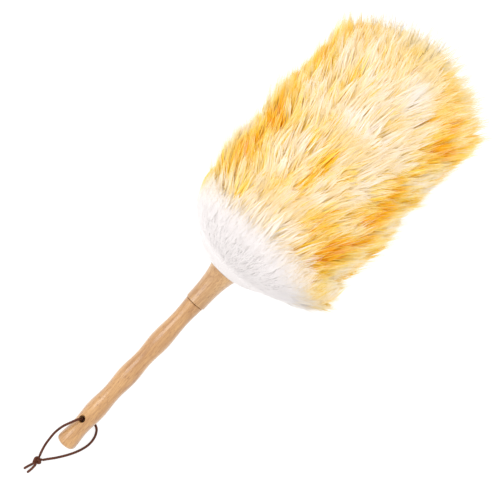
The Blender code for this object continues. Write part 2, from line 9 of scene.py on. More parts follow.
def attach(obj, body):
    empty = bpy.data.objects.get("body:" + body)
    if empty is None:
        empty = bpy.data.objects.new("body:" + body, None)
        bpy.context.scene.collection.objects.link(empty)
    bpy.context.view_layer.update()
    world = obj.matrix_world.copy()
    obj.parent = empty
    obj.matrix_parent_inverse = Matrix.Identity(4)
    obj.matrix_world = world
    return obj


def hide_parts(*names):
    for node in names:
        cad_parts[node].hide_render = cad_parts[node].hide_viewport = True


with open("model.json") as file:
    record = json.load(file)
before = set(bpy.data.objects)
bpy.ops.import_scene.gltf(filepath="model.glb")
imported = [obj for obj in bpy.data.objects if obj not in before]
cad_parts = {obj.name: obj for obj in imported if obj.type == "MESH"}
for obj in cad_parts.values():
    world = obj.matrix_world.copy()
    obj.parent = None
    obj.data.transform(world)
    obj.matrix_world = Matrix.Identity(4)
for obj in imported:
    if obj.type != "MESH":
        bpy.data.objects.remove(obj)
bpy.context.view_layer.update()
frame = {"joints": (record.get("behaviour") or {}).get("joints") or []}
print("frame loaded")

# The duster's own axes, taken from the joint that the head screws off on
turnJoint = next(joint for joint in frame["joints"] if joint["name"] == "head_turn")
along = np.array(turnJoint["axis"]) / np.linalg.norm(turnJoint["axis"])
seam = np.array(turnJoint["pos_m"])
upward = np.array([-along[2], 0.0, along[0]])
aside = np.array([0.0, -1.0, 0.0])
handleLength = 0.220
butt = seam - handleLength * along


def smoothStep(values, low, high):
    share = np.clip((values - low) / (high - low), 0, 1)
    return share * share * (3 - 2 * share)


def unit(vectors):
    return vectors / np.maximum(np.linalg.norm(vectors, axis=-1, keepdims=True), 1e-12)


noise = {"waves": 7, "pitches": (0.6, 1.5), "peak": 1.3}


def ripple(points, wavelength, seed):
    # Soft noise from about -1 to 1: a sum of sine waves in random directions, near one wavelength
    waves = noise["waves"]
    rng = np.random.default_rng(seed)
    pitch = unit(rng.normal(size=(waves, 3))) * 2 * math.pi / wavelength
    pitch *= rng.uniform(*noise["pitches"], (waves, 1))
    phase = rng.uniform(0, 2 * math.pi, waves)
    return np.sin(points @ pitch.T + phase).sum(-1) / math.sqrt(waves) / noise["peak"]


# Camera straight above, turned so that the duster points to the upper right
view = {"place": (0.00143, 0.0025, 1.300), "lens": 82.27, "sensor": 36.0,
        "right": (0.6798, -0.7334, 0.0), "top": (0.7334, 0.6798, 0.0)}


def addObject(name, data):
    made = bpy.data.objects.new(name, data)
    bpy.context.collection.objects.link(made)
    return made


def makeCamera():
    data = bpy.data.cameras.new("viewCamera")
    data.lens = view["lens"]
    data.sensor_width = view["sensor"]
    camera = addObject("viewCamera", data)
    right, top = Vector(view["right"]).normalized(), Vector(view["top"]).normalized()
    turned = Matrix((right, top, right.cross(top))).transposed().to_4x4()
    camera.matrix_world = Matrix.Translation(view["place"]) @ turned
    bpy.context.scene.camera = camera


makeCamera()
print("camera set")


def fillMesh(name, points, corners, sizes):
    # points (n, 3), corners: the vertex of each face corner in turn, sizes: corners per face
    mesh = bpy.data.meshes.new(name)
    mesh.vertices.add(len(points))
    mesh.vertices.foreach_set("co", np.ascontiguousarray(points, dtype=np.float32).ravel())
    mesh.loops.add(len(corners))
    mesh.loops.foreach_set("vertex_index", np.ascontiguousarray(corners, dtype=np.int32))
    mesh.polygons.add(len(sizes))
    starts = np.concatenate([[0], np.cumsum(sizes)[:-1]]).astype(np.int32)
    mesh.polygons.foreach_set("loop_start", starts)
    mesh.polygons.foreach_set("use_smooth", np.ones(len(sizes), dtype=bool))
    mesh.update(calc_edges=True)
    mesh.validate()
    return mesh


def ringFaces(rows, columns):
    # Quads between neighbouring rings of a grid that closes on itself around
    row, column = np.meshgrid(np.arange(rows - 1), np.arange(columns), indexing="ij")
    after = (column + 1) % columns
    quads = np.stack([row * columns + column, row * columns + after,
                      (row + 1) * columns + after, (row + 1) * columns + column], -1)
    return quads.reshape(-1, 4)


def closedTube(grid):
    # A grid (rings, around, xyz) and a middle point at each end, as points, corners and sizes
    rows, columns = grid.shape[:2]
    points = np.concatenate([grid.reshape(-1, 3), grid[0].mean(0)[None], grid[-1].mean(0)[None]])
    quads = ringFaces(rows, columns)
    ring = np.arange(columns)
    after = (ring + 1) % columns
    low, high = rows * columns, rows * columns + 1
    near = np.stack([after, ring, np.full(columns, low)], -1)
    far = np.stack([ring + (rows - 1) * columns, after + (rows - 1) * columns,
                    np.full(columns, high)], -1)
    corners = np.concatenate([quads.ravel(), near.ravel(), far.ravel()])
    sizes = np.concatenate([np.full(len(quads), 4), np.full(2 * columns, 3)])
    return points, corners, sizes


def facesOut(points, corners, sizes):
    # Six times the volume that the faces enclose; below zero, every face is turned over
    starts = np.concatenate([[0], np.cumsum(sizes)[:-1]])
    middle = points.mean(0)
    volume = 0.0
    for count in np.unique(sizes):
        face = points[corners[starts[sizes == count][:, None] + np.arange(count)]] - middle
        for step in range(1, count - 1):
            volume += np.einsum("ij,ij->", face[:, 0], np.cross(face[:, step], face[:, step + 1]))
    if volume >= 0:
        return corners
    turned = corners.copy()
    for count in np.unique(sizes):
        places = starts[sizes == count][:, None] + np.arange(count)
        turned[places] = corners[places[:, ::-1]]
    return turned


def tubesPiece(name, grids):
    # Several closed tubes as one mesh object
    allPoints, allCorners, allSizes, first = [], [], [], 0
    for grid in grids:
        points, corners, sizes = closedTube(grid)
        allCorners.append(facesOut(points, corners, sizes) + first)
        allPoints.append(points)
        allSizes.append(sizes)
        first += len(points)
    mesh = fillMesh(name, np.concatenate(allPoints), np.concatenate(allCorners),
                    np.concatenate(allSizes))
    return addObject(name, mesh)


def addNumbers(mesh, **layers):
    for name, values in layers.items():
        layer = mesh.attributes.new(name, "FLOAT", "POINT")
        layer.data.foreach_set("value", values.astype(np.float32).ravel())


# Lace: two runs from the cord hole to the knot, places from the hole's middle
lace = {"radius": 0.00145, "around": 20, "step": 0.0004, "plies": 3, "lay": 0.0095, "groove": 0.08,
        "plyPower": 0.7, "endRun": 0.5, "endLeast": 0.35, "firstSide": (0.3, -0.9, 0.5),
        "holeFromButt": 0.038, "holeLean": math.radians(25), "holeOffset": 0.00245, "mouth": 0.010728,
        "rim": 0.0009, "apart": 0.0003, "frontLength": 0.0877, "backLength": 0.1012}
knot = {"place": (-0.0746, 0.0091, -0.01165), "radii": (0.0052, 0.0056, 0.0036), "gap": 0.0004,
        "span": (0.10, 1.90), "stations": 90, "lobes": (0.00122, 0.00135, 0.00100), "shift": 0.4,
        "upperTurn": 0.30, "lowerTurn": 0.12, "lift": 0.0009}
frontRoute = ((-0.0033, 0.0067, 0.0102), (-0.0049, 0.00775, 0.0122), (-0.0078, 0.0092, 0.0134),
              (-0.0119, 0.0109, 0.0128), (-0.0164, 0.0126, 0.0103), (-0.0219, 0.0144, 0.0067),
              (-0.0286, 0.0157, 0.0021), (-0.0363, 0.0164, -0.0023), (-0.0455, 0.0160, -0.0064),
              (-0.0541, 0.0151, -0.0094), (-0.0625, 0.0132, -0.0111), (-0.0690, 0.0110, -0.0116))
backRoute = ((-0.0005, -0.0037, -0.01125), (-0.0002, -0.0050, -0.01245), (0.0000, -0.0066, -0.01325),
             (0.0000, -0.0087, -0.01365), (-0.0005, -0.0116, -0.01375), (-0.0019, -0.0144, -0.01375),
             (-0.0044, -0.0170, -0.01375), (-0.0110, -0.0202, -0.01375), (-0.0204, -0.0212, -0.01375),
             (-0.0304, -0.0191, -0.01375), (-0.0424, -0.0139, -0.01375), (-0.0562, -0.0052, -0.01360),
             (-0.0665, 0.0030, -0.01250))
upperTail = ((-0.0800, 0.0106, -0.0124), (-0.0860, 0.0128, -0.0135), (-0.0929, 0.0148, -0.01375))
lowerTail = ((-0.0800, 0.0078, -0.0128), (-0.0868, 0.0079, -0.01370), (-0.0938, 0.0090, -0.01375))
holeMiddle = butt + lace["holeFromButt"] * along
holeAlong = upward * math.cos(lace["holeLean"]) - aside * math.sin(lace["holeLean"])


def smoothRoute(route, step, samples=60):
    # Catmull-Rom curve through the points, read off at an even step
    points = np.array(route, dtype=float)
    padded = np.vstack([2 * points[0] - points[1], points, 2 * points[-1] - points[-2]])
    share = np.linspace(0, 1, samples, endpoint=False)[None, :, None]
    p0, p1, p2, p3 = (padded[i:len(padded) - 3 + i][:, None] for i in range(4))
    curve = 0.5 * (2 * p1 + (p2 - p0) * share + (2 * p0 - 5 * p1 + 4 * p2 - p3) * share ** 2
                   + (3 * p1 - p0 - 3 * p2 + p3) * share ** 3)
    return evenly(np.vstack([curve.reshape(-1, 3), points[-1:]]), step)


def evenly(dense, step):
    travelled = distances(dense)
    even = np.linspace(0, travelled[-1], math.ceil(travelled[-1] / step) + 1)
    return np.stack([np.interp(even, travelled, dense[:, i]) for i in range(3)], -1)


def pathFrames(path):
    # Two directions square to the path at each station, carried along with no twist of their own
    tangent = unit(np.gradient(path, axis=0))
    first = np.cross(tangent[0], lace["firstSide"])
    sides = [first / np.linalg.norm(first)]
    for here in tangent[1:]:
        moved = sides[-1] - here * np.dot(sides[-1], here)
        sides.append(moved / np.linalg.norm(moved))
    side = np.array(sides)
    return side, np.cross(tangent, side)


def distances(path):
    steps = np.linalg.norm(np.diff(path, axis=0), axis=1)
    return np.concatenate([[0], np.cumsum(steps)])


def twistedTube(path):
    # Ring radius = radius x (1 - groove x (1 - |cos|^power)) for each ply, turning once in each lay
    side, other = pathFrames(path)
    angle = np.linspace(0, 2 * math.pi, lace["around"], endpoint=False)[None, :]
    travelled = distances(path)[:, None]
    ply = np.abs(np.cos((angle - 2 * math.pi * travelled / lace["lay"]) * lace["plies"] / 2))
    size = lace["radius"] * (1 - lace["groove"] * (1 - ply ** lace["plyPower"]))
    tip = np.minimum(travelled, travelled[-1] - travelled) / (lace["endRun"] * lace["radius"])
    size = size * np.sqrt(np.clip(1 - (1 - np.clip(tip, 0, 1)) ** 2, lace["endLeast"], 1))
    return (path[:, None] + (size * np.cos(angle))[..., None] * side[:, None]
            + (size * np.sin(angle))[..., None] * other[:, None])


def clearOfKnot(path):
    reach = np.array(knot["radii"]) + knot["gap"]
    return path[np.linalg.norm((path - np.array(knot["place"])) / reach, axis=1) > 1]


def laceRun(direction, route):
    towardButt = np.array([-1.0, 1.0, 0.0])
    beside = unit(towardButt - holeAlong * (towardButt @ holeAlong)) * lace["holeOffset"]
    depths = (lace["apart"] / 2, lace["mouth"] / 2, lace["mouth"] - lace["rim"])
    inHole = [beside + direction * depth * holeAlong for depth in depths]
    return clearOfKnot(smoothRoute([*inHole, *route, knot["place"]], lace["step"])) + holeMiddle


def overhandPath(turned, lift):
    # Open three-lobed knot: x = sin t + 2 sin 2t, y = cos t - 2 cos 2t, z = -sin 3t, cut at a lobe
    start, end = knot["span"]
    t = np.linspace(start * math.pi, end * math.pi, knot["stations"])
    x = np.sin(t) + 2 * np.sin(2 * t)
    y = np.cos(t) - 2 * np.cos(2 * t) + knot["shift"]
    z = -np.sin(3 * t)
    shape = np.stack([x, y, z], -1) * knot["lobes"] + [0, 0, lift]
    turn = np.array([[math.cos(turned), math.sin(turned), 0], [-math.sin(turned), math.cos(turned), 0],
                     [0, 0, 1]])
    return shape @ turn + np.array(knot["place"])


def knotPath(route, entry, turned, lift):
    # One run's way on: from its entry round the lobes of the knot and out along its tail
    wound = overhandPath(turned, lift) + holeMiddle
    tail = smoothRoute(route, lace["step"]) + holeMiddle
    if np.linalg.norm(wound[0] - entry) > np.linalg.norm(wound[-1] - entry):
        wound = wound[::-1]
    joined = np.vstack([entry[None], wound[2:-2:3], tail[::4]])
    return smoothRoute(joined, lace["step"], 12)


frontPath = laceRun(1, frontRoute)
backPath = laceRun(-1, backRoute)
laceFront = tubesPiece("laceFront", [twistedTube(frontPath)])
laceBack = tubesPiece("laceBack", [twistedTube(backPath)])
laceKnot = tubesPiece("laceKnot", [
    twistedTube(knotPath(upperTail, frontPath[-1], knot["upperTurn"], knot["lift"])),
    twistedTube(knotPath(lowerTail, backPath[-1], knot["lowerTurn"], -knot["lift"]))])
print("lace made")


# Stud with its thread
stud = {"radius": 0.0040, "depth": 0.00062, "pitch": 0.00125, "inHandle": 0.028, "proud": 0.016,
        "chamfer": 0.0009, "around": 40, "step": 0.0001}


def aroundAxis(distance, radius, angle, shift=0.0):
    # From distance along the duster, radius and angle from upright, to a place in the scene
    return (butt + distance[..., None] * along + (radius * np.cos(angle))[..., None] * upward
            + (radius * np.sin(angle) + shift)[..., None] * aside)


def makeStud():
    # Radius = crest - depth x triangle wave of (distance / pitch - share of a turn), plain in the wood
    start, end = handleLength - stud["inHandle"], handleLength + stud["proud"]
    plain = np.array([start, start + stud["chamfer"], handleLength - stud["pitch"]])
    distance = np.concatenate([plain, np.arange(handleLength, end, stud["step"]), [end]])[:, None]
    angle = np.linspace(0, 2 * math.pi, stud["around"], endpoint=False)[None, :]
    wave = np.abs(((distance / stud["pitch"] - angle / (2 * math.pi)) % 1) * 2 - 1)
    crest = stud["radius"] - np.clip(distance - end + stud["chamfer"], 0, None)
    cutDepth = stud["depth"] * smoothStep(distance, handleLength, handleLength + stud["pitch"])
    radius = np.minimum(crest, stud["radius"] - cutDepth * (1 - wave))
    radius[0] = stud["radius"] - stud["chamfer"]
    return tubesPiece("threadedStud", [aroundAxis(distance, radius, angle)])


threadedStud = makeStud()
print("stud threaded")


# Wool as a whole: its two ends, its bend aside, its swells, and how near the table it may come
wool = {"back": 0.2666, "front": 0.6066, "lean": 0.0080, "leanRun": 0.052, "swell": 0.0030,
        "sideLimit": 0.1155, "softness": 0.003, "straight": 30, "flatter": 0.015, "usual": 0.100,
        "fits": (0.85, 1.07), "fitEnds": (0.330, 0.545), "outermost": 1.2}
swells = {"along": 5.0, "bendAlong": 0.16, "bendTurns": 3, "bendStart": 1.0, "around": 8,
          "bendAround": 0.22, "bends": 2.6, "fadeAt": (0.15, 0.24, 0.86, 0.95)}
dyeing = {"fall": 0.7, "furthest": 9}
undyed = {"edge": 0.314, "onTop": 0.024, "topPower": 1.5, "onRight": 0.014, "before": 0.012,
          "after": 0.018, "tip": 0.28, "tipRun": (0.545, 0.600), "spot": 0.8, "spotPlace": 0.543,
          "spotTurn": math.radians(10), "spotLong": 0.016, "spotWide": 0.20}
bodyTurn = {"tipRun": (0.535, 0.605), "base": 1.3, "baseRun": (0.262, 0.322), "core": 0.07, "least": 0.05}

# Wavelength and seed of each soft noise in the wool
ripples = {"waver": (0.045, 3), "length": (0.040, 4), "sideways": (0.060, 5), "reach": (0.018, 6),
           "tone": (0.030, 8), "lumps": (0.016, 9)}

# Reach of the wool's tips along the duster, in millimetres: distance from the butt, left, right
outline = np.array([
    (267, 19, 19), (269, 27, 26), (278, 44, 43), (287, 57, 62), (295, 70, 84), (304, 80, 101),
    (312, 86, 110), (321, 90, 111), (330, 93, 106), (338, 95, 98), (347, 96, 96), (355, 97, 96),
    (363, 102, 98), (372, 106, 104), (380, 107, 102), (389, 107, 103), (398, 104, 102), (406, 101, 105),
    (415, 101, 108), (423, 100, 105), (432, 100, 101), (440, 102, 97), (449, 102, 97), (457, 106, 97),
    (466, 107, 103), (474, 104, 101), (483, 100, 98), (491, 98, 98), (500, 101, 101), (508, 99, 103),
    (517, 100, 101), (526, 99, 104), (534, 99, 105), (543, 103, 106), (551, 104, 106), (560, 99, 105),
    (568, 94, 102), (577, 83, 91), (585, 71, 85), (594, 55, 69), (602, 34, 46), (611, 12, 15),
    (615, -2, -2)]) * 0.001

# Where the pile grows from: distance from the butt and radius, from the base to the tip
rootLine = np.array([
    (284, 51), (292, 63), (300, 73), (309, 79), (320, 82), (335, 83), (520, 83), (535, 78), (549, 68),
    (560, 54), (569, 37), (576, 19), (579, 2)]) * 0.001
rootLength = np.hypot(*np.diff(rootLine, axis=0).T).sum()

# The short wool under the pile
underLine = np.array([
    (309, 84), (320, 85), (335, 85), (518, 85), (535, 79), (550, 69), (563, 55), (573, 39), (580, 22),
    (584, 8), (585, 1)]) * 0.001

# The smooth base, from the collar's lip to where the pile takes over
domeLine = np.array([
    (266.8, 18.4), (267.6, 24), (270, 31), (276, 43), (285, 57), (294, 71), (302, 81), (310, 88),
    (320, 93), (332, 96)]) * 0.001

# Dyed patches: millimetres from the butt, degrees round from upright, half length, half spread, depth
dyePatches = (
    (392, -54, 17, 12, 0.95), (439, -58, 20, 12, 1.00), (414, -56, 14, 10, 0.75), (372, -60, 13, 12, 0.80),
    (515, -66, 22, 13, 0.85), (472, -62, 16, 11, 0.60), (357, -84, 15, 16, 0.72), (332, -85, 12, 16, 0.62),
    (446, -38, 15, 5, 0.50), (529, -30, 9, 4, 0.65), (494, -34, 15, 6, 0.42), (452, -18, 11, 5, 0.62),
    (441, -4, 16, 4, 0.85), (416, -4, 15, 4, 0.72), (391, -18, 15, 7, 0.40), (361, -37, 11, 8, 0.42),
    (552, 25, 11, 6, 0.62), (544, 43, 12, 9, 0.90), (522, 50, 19, 12, 1.20), (499, 49, 11, 6, 0.55),
    (526, 79, 15, 15, 0.85), (466, 44, 14, 6, 0.60), (447, 51, 17, 9, 1.05), (463, 70, 15, 12, 0.75),
    (430, 49, 15, 9, 0.92), (390, 21, 15, 7, 0.90), (375, 24, 9, 6, 0.65), (405, 56, 15, 10, 0.85),
    (420, 35, 13, 6, 0.55), (374, 44, 15, 12, 1.28), (357, 50, 11, 10, 0.75), (331, 52, 11, 10, 0.50),
    (320, 84, 12, 16, 0.45), (445, 12, 13, 5, 0.42), (592, 23, 10, 14, 0.62), (578, 41, 10, 12, 0.68),
    (580, -15, 8, 10, 0.42), (400, 88, 26, 14, 0.80), (350, 92, 16, 12, 0.75), (480, -88, 24, 14, 0.75),
    (428, -90, 18, 12, 0.60), (560, 75, 14, 14, 0.60), (560, -70, 14, 14, 0.55), (388, 120, 20, 12, 0.90),
    (452, 128, 22, 14, 0.80), (520, 118, 20, 12, 0.90), (350, 132, 14, 10, 0.60), (410, -122, 22, 14, 0.80),
    (476, -128, 20, 14, 0.90), (536, -118, 18, 12, 0.75), (350, -124, 14, 12, 0.60), (430, 176, 20, 14, 0.70),
    (500, 172, 22, 14, 0.80), (370, -172, 18, 14, 0.70))


def leanAt(distance):
    share = np.clip((distance - wool["back"]) / wool["leanRun"], 0, 1)
    return wool["lean"] * (1 - np.cos(math.pi * share)) / 2


def woolPlace(distance, radius, angle):
    return aroundAxis(distance, radius, angle, leanAt(distance))


def outwardAt(angle):
    return np.cos(angle)[..., None] * upward + np.sin(angle)[..., None] * aside


def swellAt(distance, angle):
    # Staggered swells: cos of a wave along the duster x cos of a wave round it, both wandering a little
    share = (distance - wool["back"]) / (wool["front"] - wool["back"])
    bend = np.sin(swells["bendTurns"] * angle + swells["bendStart"])
    waveAlong = swells["along"] * share + swells["bendAlong"] * bend
    bend = np.sin(2 * math.pi * swells["bends"] * share)
    waveAround = swells["around"] * angle / (2 * math.pi) + swells["bendAround"] * bend
    fade = np.interp(share, swells["fadeAt"], (0, 1, 1, 0))
    return fade * np.cos(2 * math.pi * waveAlong) * np.cos(2 * math.pi * waveAround) * np.cos(angle) ** 2


def reachAt(distance, angle):
    # The outline's left and right reach, blended round the wool, with the swells on top and below
    left = np.interp(distance, outline[:, 0], outline[:, 1])
    right = np.interp(distance, outline[:, 0], outline[:, 2])
    share = (1 + np.sin(angle)) / 2
    return left * (1 - share) + right * share + wool["swell"] * swellAt(distance, angle)


def fitAt(distance, angle):
    # The reach against the usual one, a little more on top, where the pile lies flatter, than at the sides
    fit = np.clip(reachAt(distance, angle) / wool["usual"], *wool["fits"])
    return fit * (1 + wool["flatter"] * np.cos(2 * angle))


def depthAt(distance, radius, angle):
    # None at the duster's axis, one at the wool's tips; it sets where the wool's painted shade falls
    return np.clip(radius / reachAt(distance, angle), 0, wool["outermost"])


def aboveFloor(points, lowest):
    # Height = lowest + softness x log(1 + e^((height - lowest) / softness)): nothing goes below the table
    lifted = points.copy()
    over = (points[..., 2] - lowest) / wool["softness"]
    eased = np.log1p(np.exp(np.minimum(over, wool["straight"])))
    lifted[..., 2] = lowest + wool["softness"] * np.where(over > wool["straight"], over, eased)
    lifted[..., 1] = np.clip(lifted[..., 1], -wool["sideLimit"], wool["sideLimit"])
    return lifted


def alongLine(line, share):
    steps = np.concatenate([[0], np.cumsum(np.hypot(*np.diff(line, axis=0).T))])
    place = share * steps[-1]
    return np.interp(place, steps, line[:, 0]), np.interp(place, steps, line[:, 1])


def woolCoordinates(points):
    # Distance from the butt, radius and angle of places in the wool
    local = points - butt
    distance = local @ along
    high = local @ upward
    wide = local @ aside - leanAt(distance)
    return distance, np.hypot(high, wide), np.arctan2(wide, high)


def dyeAt(distance, angle):
    # The deepest of the patches: depth x e^(-fall x ((away / half length)^2 + (turn / half spread)^2))
    dye = np.zeros_like(distance)
    for place, turned, halfLength, halfSpread, depth in dyePatches:
        away = (distance - place * 0.001) / (halfLength * 0.001)
        turn = (angle - math.radians(turned) + math.pi) % (2 * math.pi) - math.pi
        apart = away ** 2 + (turn / math.radians(halfSpread)) ** 2
        near = apart < dyeing["furthest"]
        dye[near] = np.maximum(dye[near], depth * np.exp(-dyeing["fall"] * apart[near]))
    return dye


def paleAt(distance, angle):
    # One at the undyed base, fading to none; the base's white reaches furthest on top
    edge = (undyed["edge"] + undyed["onTop"] * np.clip(np.cos(angle), 0, 1) ** undyed["topPower"]
            - undyed["onRight"] * np.clip(np.sin(angle), 0, 1))
    base = 1 - smoothStep(distance, edge - undyed["before"], edge + undyed["after"])
    tip = undyed["tip"] * smoothStep(distance, *undyed["tipRun"])
    away = (distance - undyed["spotPlace"]) / undyed["spotLong"]
    turned = (angle - undyed["spotTurn"]) / undyed["spotWide"]
    return np.clip(base + undyed["spot"] * np.exp(-(away ** 2 + turned ** 2)) + tip, 0, 1)


def bodyNormal(distance, radius, angle):
    # Outward from the wool as a whole, leaning back at the base and forward at the tip
    back = bodyTurn["base"] * (1 - smoothStep(distance, *bodyTurn["baseRun"]))
    forward = smoothStep(distance, *bodyTurn["tipRun"]) - back
    outward = np.clip(radius / bodyTurn["core"], bodyTurn["least"], 1)
    return unit(outward[..., None] * outwardAt(angle) + forward[..., None] * along)


def clipped(rng, spread, shape):
    return np.clip(rng.normal(0, spread, shape), -2 * spread, 2 * spread)


# A single strand, whatever it is part of
strand = {"stations": np.array([0.0, 0.42, 0.78, 1.0]), "waves": 1.1, "lowest": 0.0011, "unevenLow": 0.0042,
          "roll": 0.16, "ridge": 0.10, "tipThick": 0.10, "taper": 0.9, "upFront": (0, 0, 0.60),
          "upBack": (0, 0, 0.60), "rounded": 0.08, "backAhead": 0.75, "backIn": 0.55, "dyeLoss": 0.45,
          "lossRun": (0.70, 1.0), "paleRun": (0.45, 1.0), "mapShape": 2.2, "mapSide": 0.08, "mapEnd": 0.04,
          "mapRoot": 0.06, "rootU": (0.9, 0.5, 0.1), "rootV": (0.0, 0.05, 0.0)}
strandRings = len(strand["stations"]) - 1
strandPoints = 3 * strandRings + 1


def strandFaces():
    # One strand's faces: quads between rings, a point of three triangles, and one at the root
    quads = ringFaces(strandRings, 3)
    last, apex = 3 * (strandRings - 1), 3 * strandRings
    tips = np.array([(last, last + 1, apex), (last + 1, last + 2, apex), (last + 2, last, apex)])
    corners = np.concatenate([quads.ravel(), tips.ravel(), [2, 1, 0]])
    return corners, np.concatenate([np.full(len(quads), 4), np.full(4, 3)])


def shadeStrands(mesh, outward, side, corners):
    # Faces shade with the pile's outward normal, a little rounded and turned up; backs as if facing ahead
    across = np.append(np.tile([1.0, 0.0, -1.0], strandRings), 0.0)[None, :, None]
    sideOf = np.concatenate([side[:, :-1].repeat(3, 1), side[:, -1:]], 1)
    shading = unit(outward + strand["upFront"] + strand["rounded"] * across * sideOf)
    isBack = np.concatenate([np.tile([0, 0, 1], strandRings - 1).repeat(4), [0] * 6, [1] * 6])
    backing = unit(strand["backAhead"] * along - strand["backIn"] * shading + strand["upBack"])
    normals = np.where(isBack[None, :, None] == 1, backing[:, corners], shading[:, corners])
    mesh.normals_split_custom_set(normals.reshape(-1, 3).astype(np.float32))


def mapStrands(mesh, count):
    # Each strand has its own small cell of the map, three strips wide
    wide = math.ceil(math.sqrt(count * strand["mapShape"]))
    tall = math.ceil(count / wide)
    stations, strip = strand["stations"], np.arange(3)
    quadU = np.stack([strip, strip + 1, strip + 1, strip], -1)[None].repeat(strandRings - 1, 0) / 3
    low, high = stations[:strandRings - 1], stations[1:strandRings]
    quadV = np.stack([low, low, high, high], -1)[:, None].repeat(3, 1)
    tipU = np.stack([strip, strip + 1, strip + 0.5], -1) / 3
    tipV = np.array([[stations[-2], stations[-2], 1.0]]).repeat(3, 0)
    u = np.concatenate([quadU.ravel(), tipU.ravel(), strand["rootU"]])
    v = np.concatenate([quadV.ravel(), tipV.ravel()]) * (1 - strand["mapRoot"]) + strand["mapRoot"]
    v = np.concatenate([v, strand["rootV"]])
    cell = np.arange(count)[:, None]
    mapU = (cell % wide + strand["mapSide"] + (1 - 2 * strand["mapSide"]) * u[None]) / wide
    mapV = (cell // wide + strand["mapEnd"] + (1 - 2 * strand["mapEnd"]) * v[None]) / tall
    layer = mesh.uv_layers.new(name="OFBake")
    layer.data.foreach_set("uv", np.stack([mapU, mapV], -1).astype(np.float32).ravel())


def growStrands(name, start, bend, end, thick, tone, wander, seed, crimped):
    # Each strand: (1-t)^2 start + 2t(1-t) bend + t^2 end, as a low ridged blade that faces out and tapers.
    # Columns of wander: the dye's shift along and round, its factor, the white's shift, least dye, whiter tip
    rng = np.random.default_rng(seed)
    count, stations = len(start), strand["stations"]
    t = stations[None, :, None]
    line = (1 - t) ** 2 * start[:, None] + 2 * t * (1 - t) * bend[:, None] + t ** 2 * end[:, None]
    crimp = rng.normal(size=(count, 1, 3)) * crimped
    phase = rng.uniform(0, 1, (count, 1, 1))
    line = line + crimp * np.sin(2 * math.pi * (strand["waves"] * t + phase)) * t
    uneven = rng.uniform(0, 1, (count, 1)) ** 2
    line = aboveFloor(line, strand["lowest"] + strand["unevenLow"] * uneven)
    tangent = unit(np.gradient(line, axis=1))
    flatSide = unit(np.cross(bodyNormal(*woolCoordinates(line)) + strand["upFront"], tangent))
    flatUp = np.cross(tangent, flatSide)
    roll = clipped(rng, strand["roll"], (count, 1, 1))
    side = flatSide * np.cos(roll) + flatUp * np.sin(roll)
    up = flatUp * np.cos(roll) - flatSide * np.sin(roll)
    taper = strand["tipThick"] + (1 - strand["tipThick"]) * (1 - stations ** 2) ** strand["taper"]
    size = (thick[:, None] * taper)[..., None]
    ring = np.stack([side * size, up * size * strand["ridge"], -side * size], 2)[:, :-1]
    skin = (line[:, :-1, None] + ring).reshape(count, -1, 3)
    points = np.concatenate([skin, line[:, -1:]], axis=1).reshape(-1, 3)
    corners, sizes = strandFaces()
    allCorners = (corners[None] + strandPoints * np.arange(count)[:, None]).ravel()
    mesh = fillMesh(name, points, allCorners, np.tile(sizes, count))

    distance, radius, turned = woolCoordinates(points)
    share = np.tile(np.append(np.repeat(stations[:-1], 3), 1.0), count)
    stray = np.repeat(wander, strandPoints, axis=0)
    midDistance, _, midTurned = woolCoordinates(line[:, 2])
    dye = dyeAt(midDistance + wander[:, 0], midTurned + wander[:, 1]) * wander[:, 2]
    dye = np.repeat(dye, strandPoints) * (1 - strand["dyeLoss"] * smoothStep(share, *strand["lossRun"]))
    pale = paleAt(distance + stray[:, 3], turned) + stray[:, 5] * smoothStep(share, *strand["paleRun"])
    addNumbers(mesh, dye=np.maximum(dye, stray[:, 4]), pale=pale, tone=np.repeat(tone, strandPoints),
               depth=depthAt(distance, radius, turned))
    shadeStrands(mesh, bodyNormal(distance, radius, turned).reshape(count, -1, 3), side, corners)
    mapStrands(mesh, count)
    return addObject(name, mesh)


# Long locks: where they stand, how they lean, how far their tips reach
locks = {"pieces": 9, "rowStep": 0.0092, "lockStep": 0.0094, "jitter": 0.4, "closer": 0.40,
         "closerRun": (0.530, 0.560), "rootRun": (0.280, 0.330), "length": 0.0430, "leanAtRoot": 42,
         "leanAtTip": 34, "waver": 5, "waverSpread": 2.5, "waverAtRoot": 0.5, "baseEdge": 0.287,
         "baseRun": 0.020, "baseLean": 9, "rightLean": 38, "baseShorter": 0.22, "narrow": 0.078,
         "narrowPower": 0.8, "uneven": 0.08, "unevenSpread": 0.10, "topLean": 0.58, "topEdge": 0.290,
         "topRun": 0.030, "rootShare": 0.45, "tipShare": 0.57, "sideways": 0.0030, "swerve": 0.0050,
         "swerveSpread": 0.0014, "leastRadius": 0.02, "pileRun": (0.305, 0.345), "drift": 0.000014,
         "driftRound": 0.0018, "tipRun": (0.530, 0.565), "reach": 0.990, "reachRipple": 0.030,
         "reachSpread": (-0.04, 0.03), "heldAhead": 0.032, "heldIn": 0.13, "drawn": 0.955, "draws": 14}

# The strands of a lock
hairs = {"each": 46, "patch": 0.75, "core": 0.62, "leastRadius": 0.012, "gather": (0.15, 0.65),
         "endSpread": 0.0010, "endReach": (0.985, 1.010), "grown": 0.79, "coreGrown": 0.17,
         "grownSpread": (-0.12, 0.10), "grownLimits": (0.5, 1.04), "strays": 0.13, "strayGrown": (0.98, 1.32),
         "strayAtTip": 0.32, "bend": 0.46, "finest": 0.00024, "broadest": 0.00085, "finePower": 1.5,
         "crimp": 0.0007, "tone": 0.5, "toneRipple": 0.22, "toneSpread": 0.20, "lockTone": 0.13,
         "golden": 0.20, "goldenDye": (0.14, 0.40), "plainDye": (0, 0.09),
         "dyeAlong": (0.0050, 0.0060), "dyeRound": 0.030, "dyed": 0.95, "dyedSpread": 0.22, "lockDyed": 0.12,
         "dyedLimits": (0.1, 1.3), "whiteAlong": 0.0060, "strayWhite": 0.40}


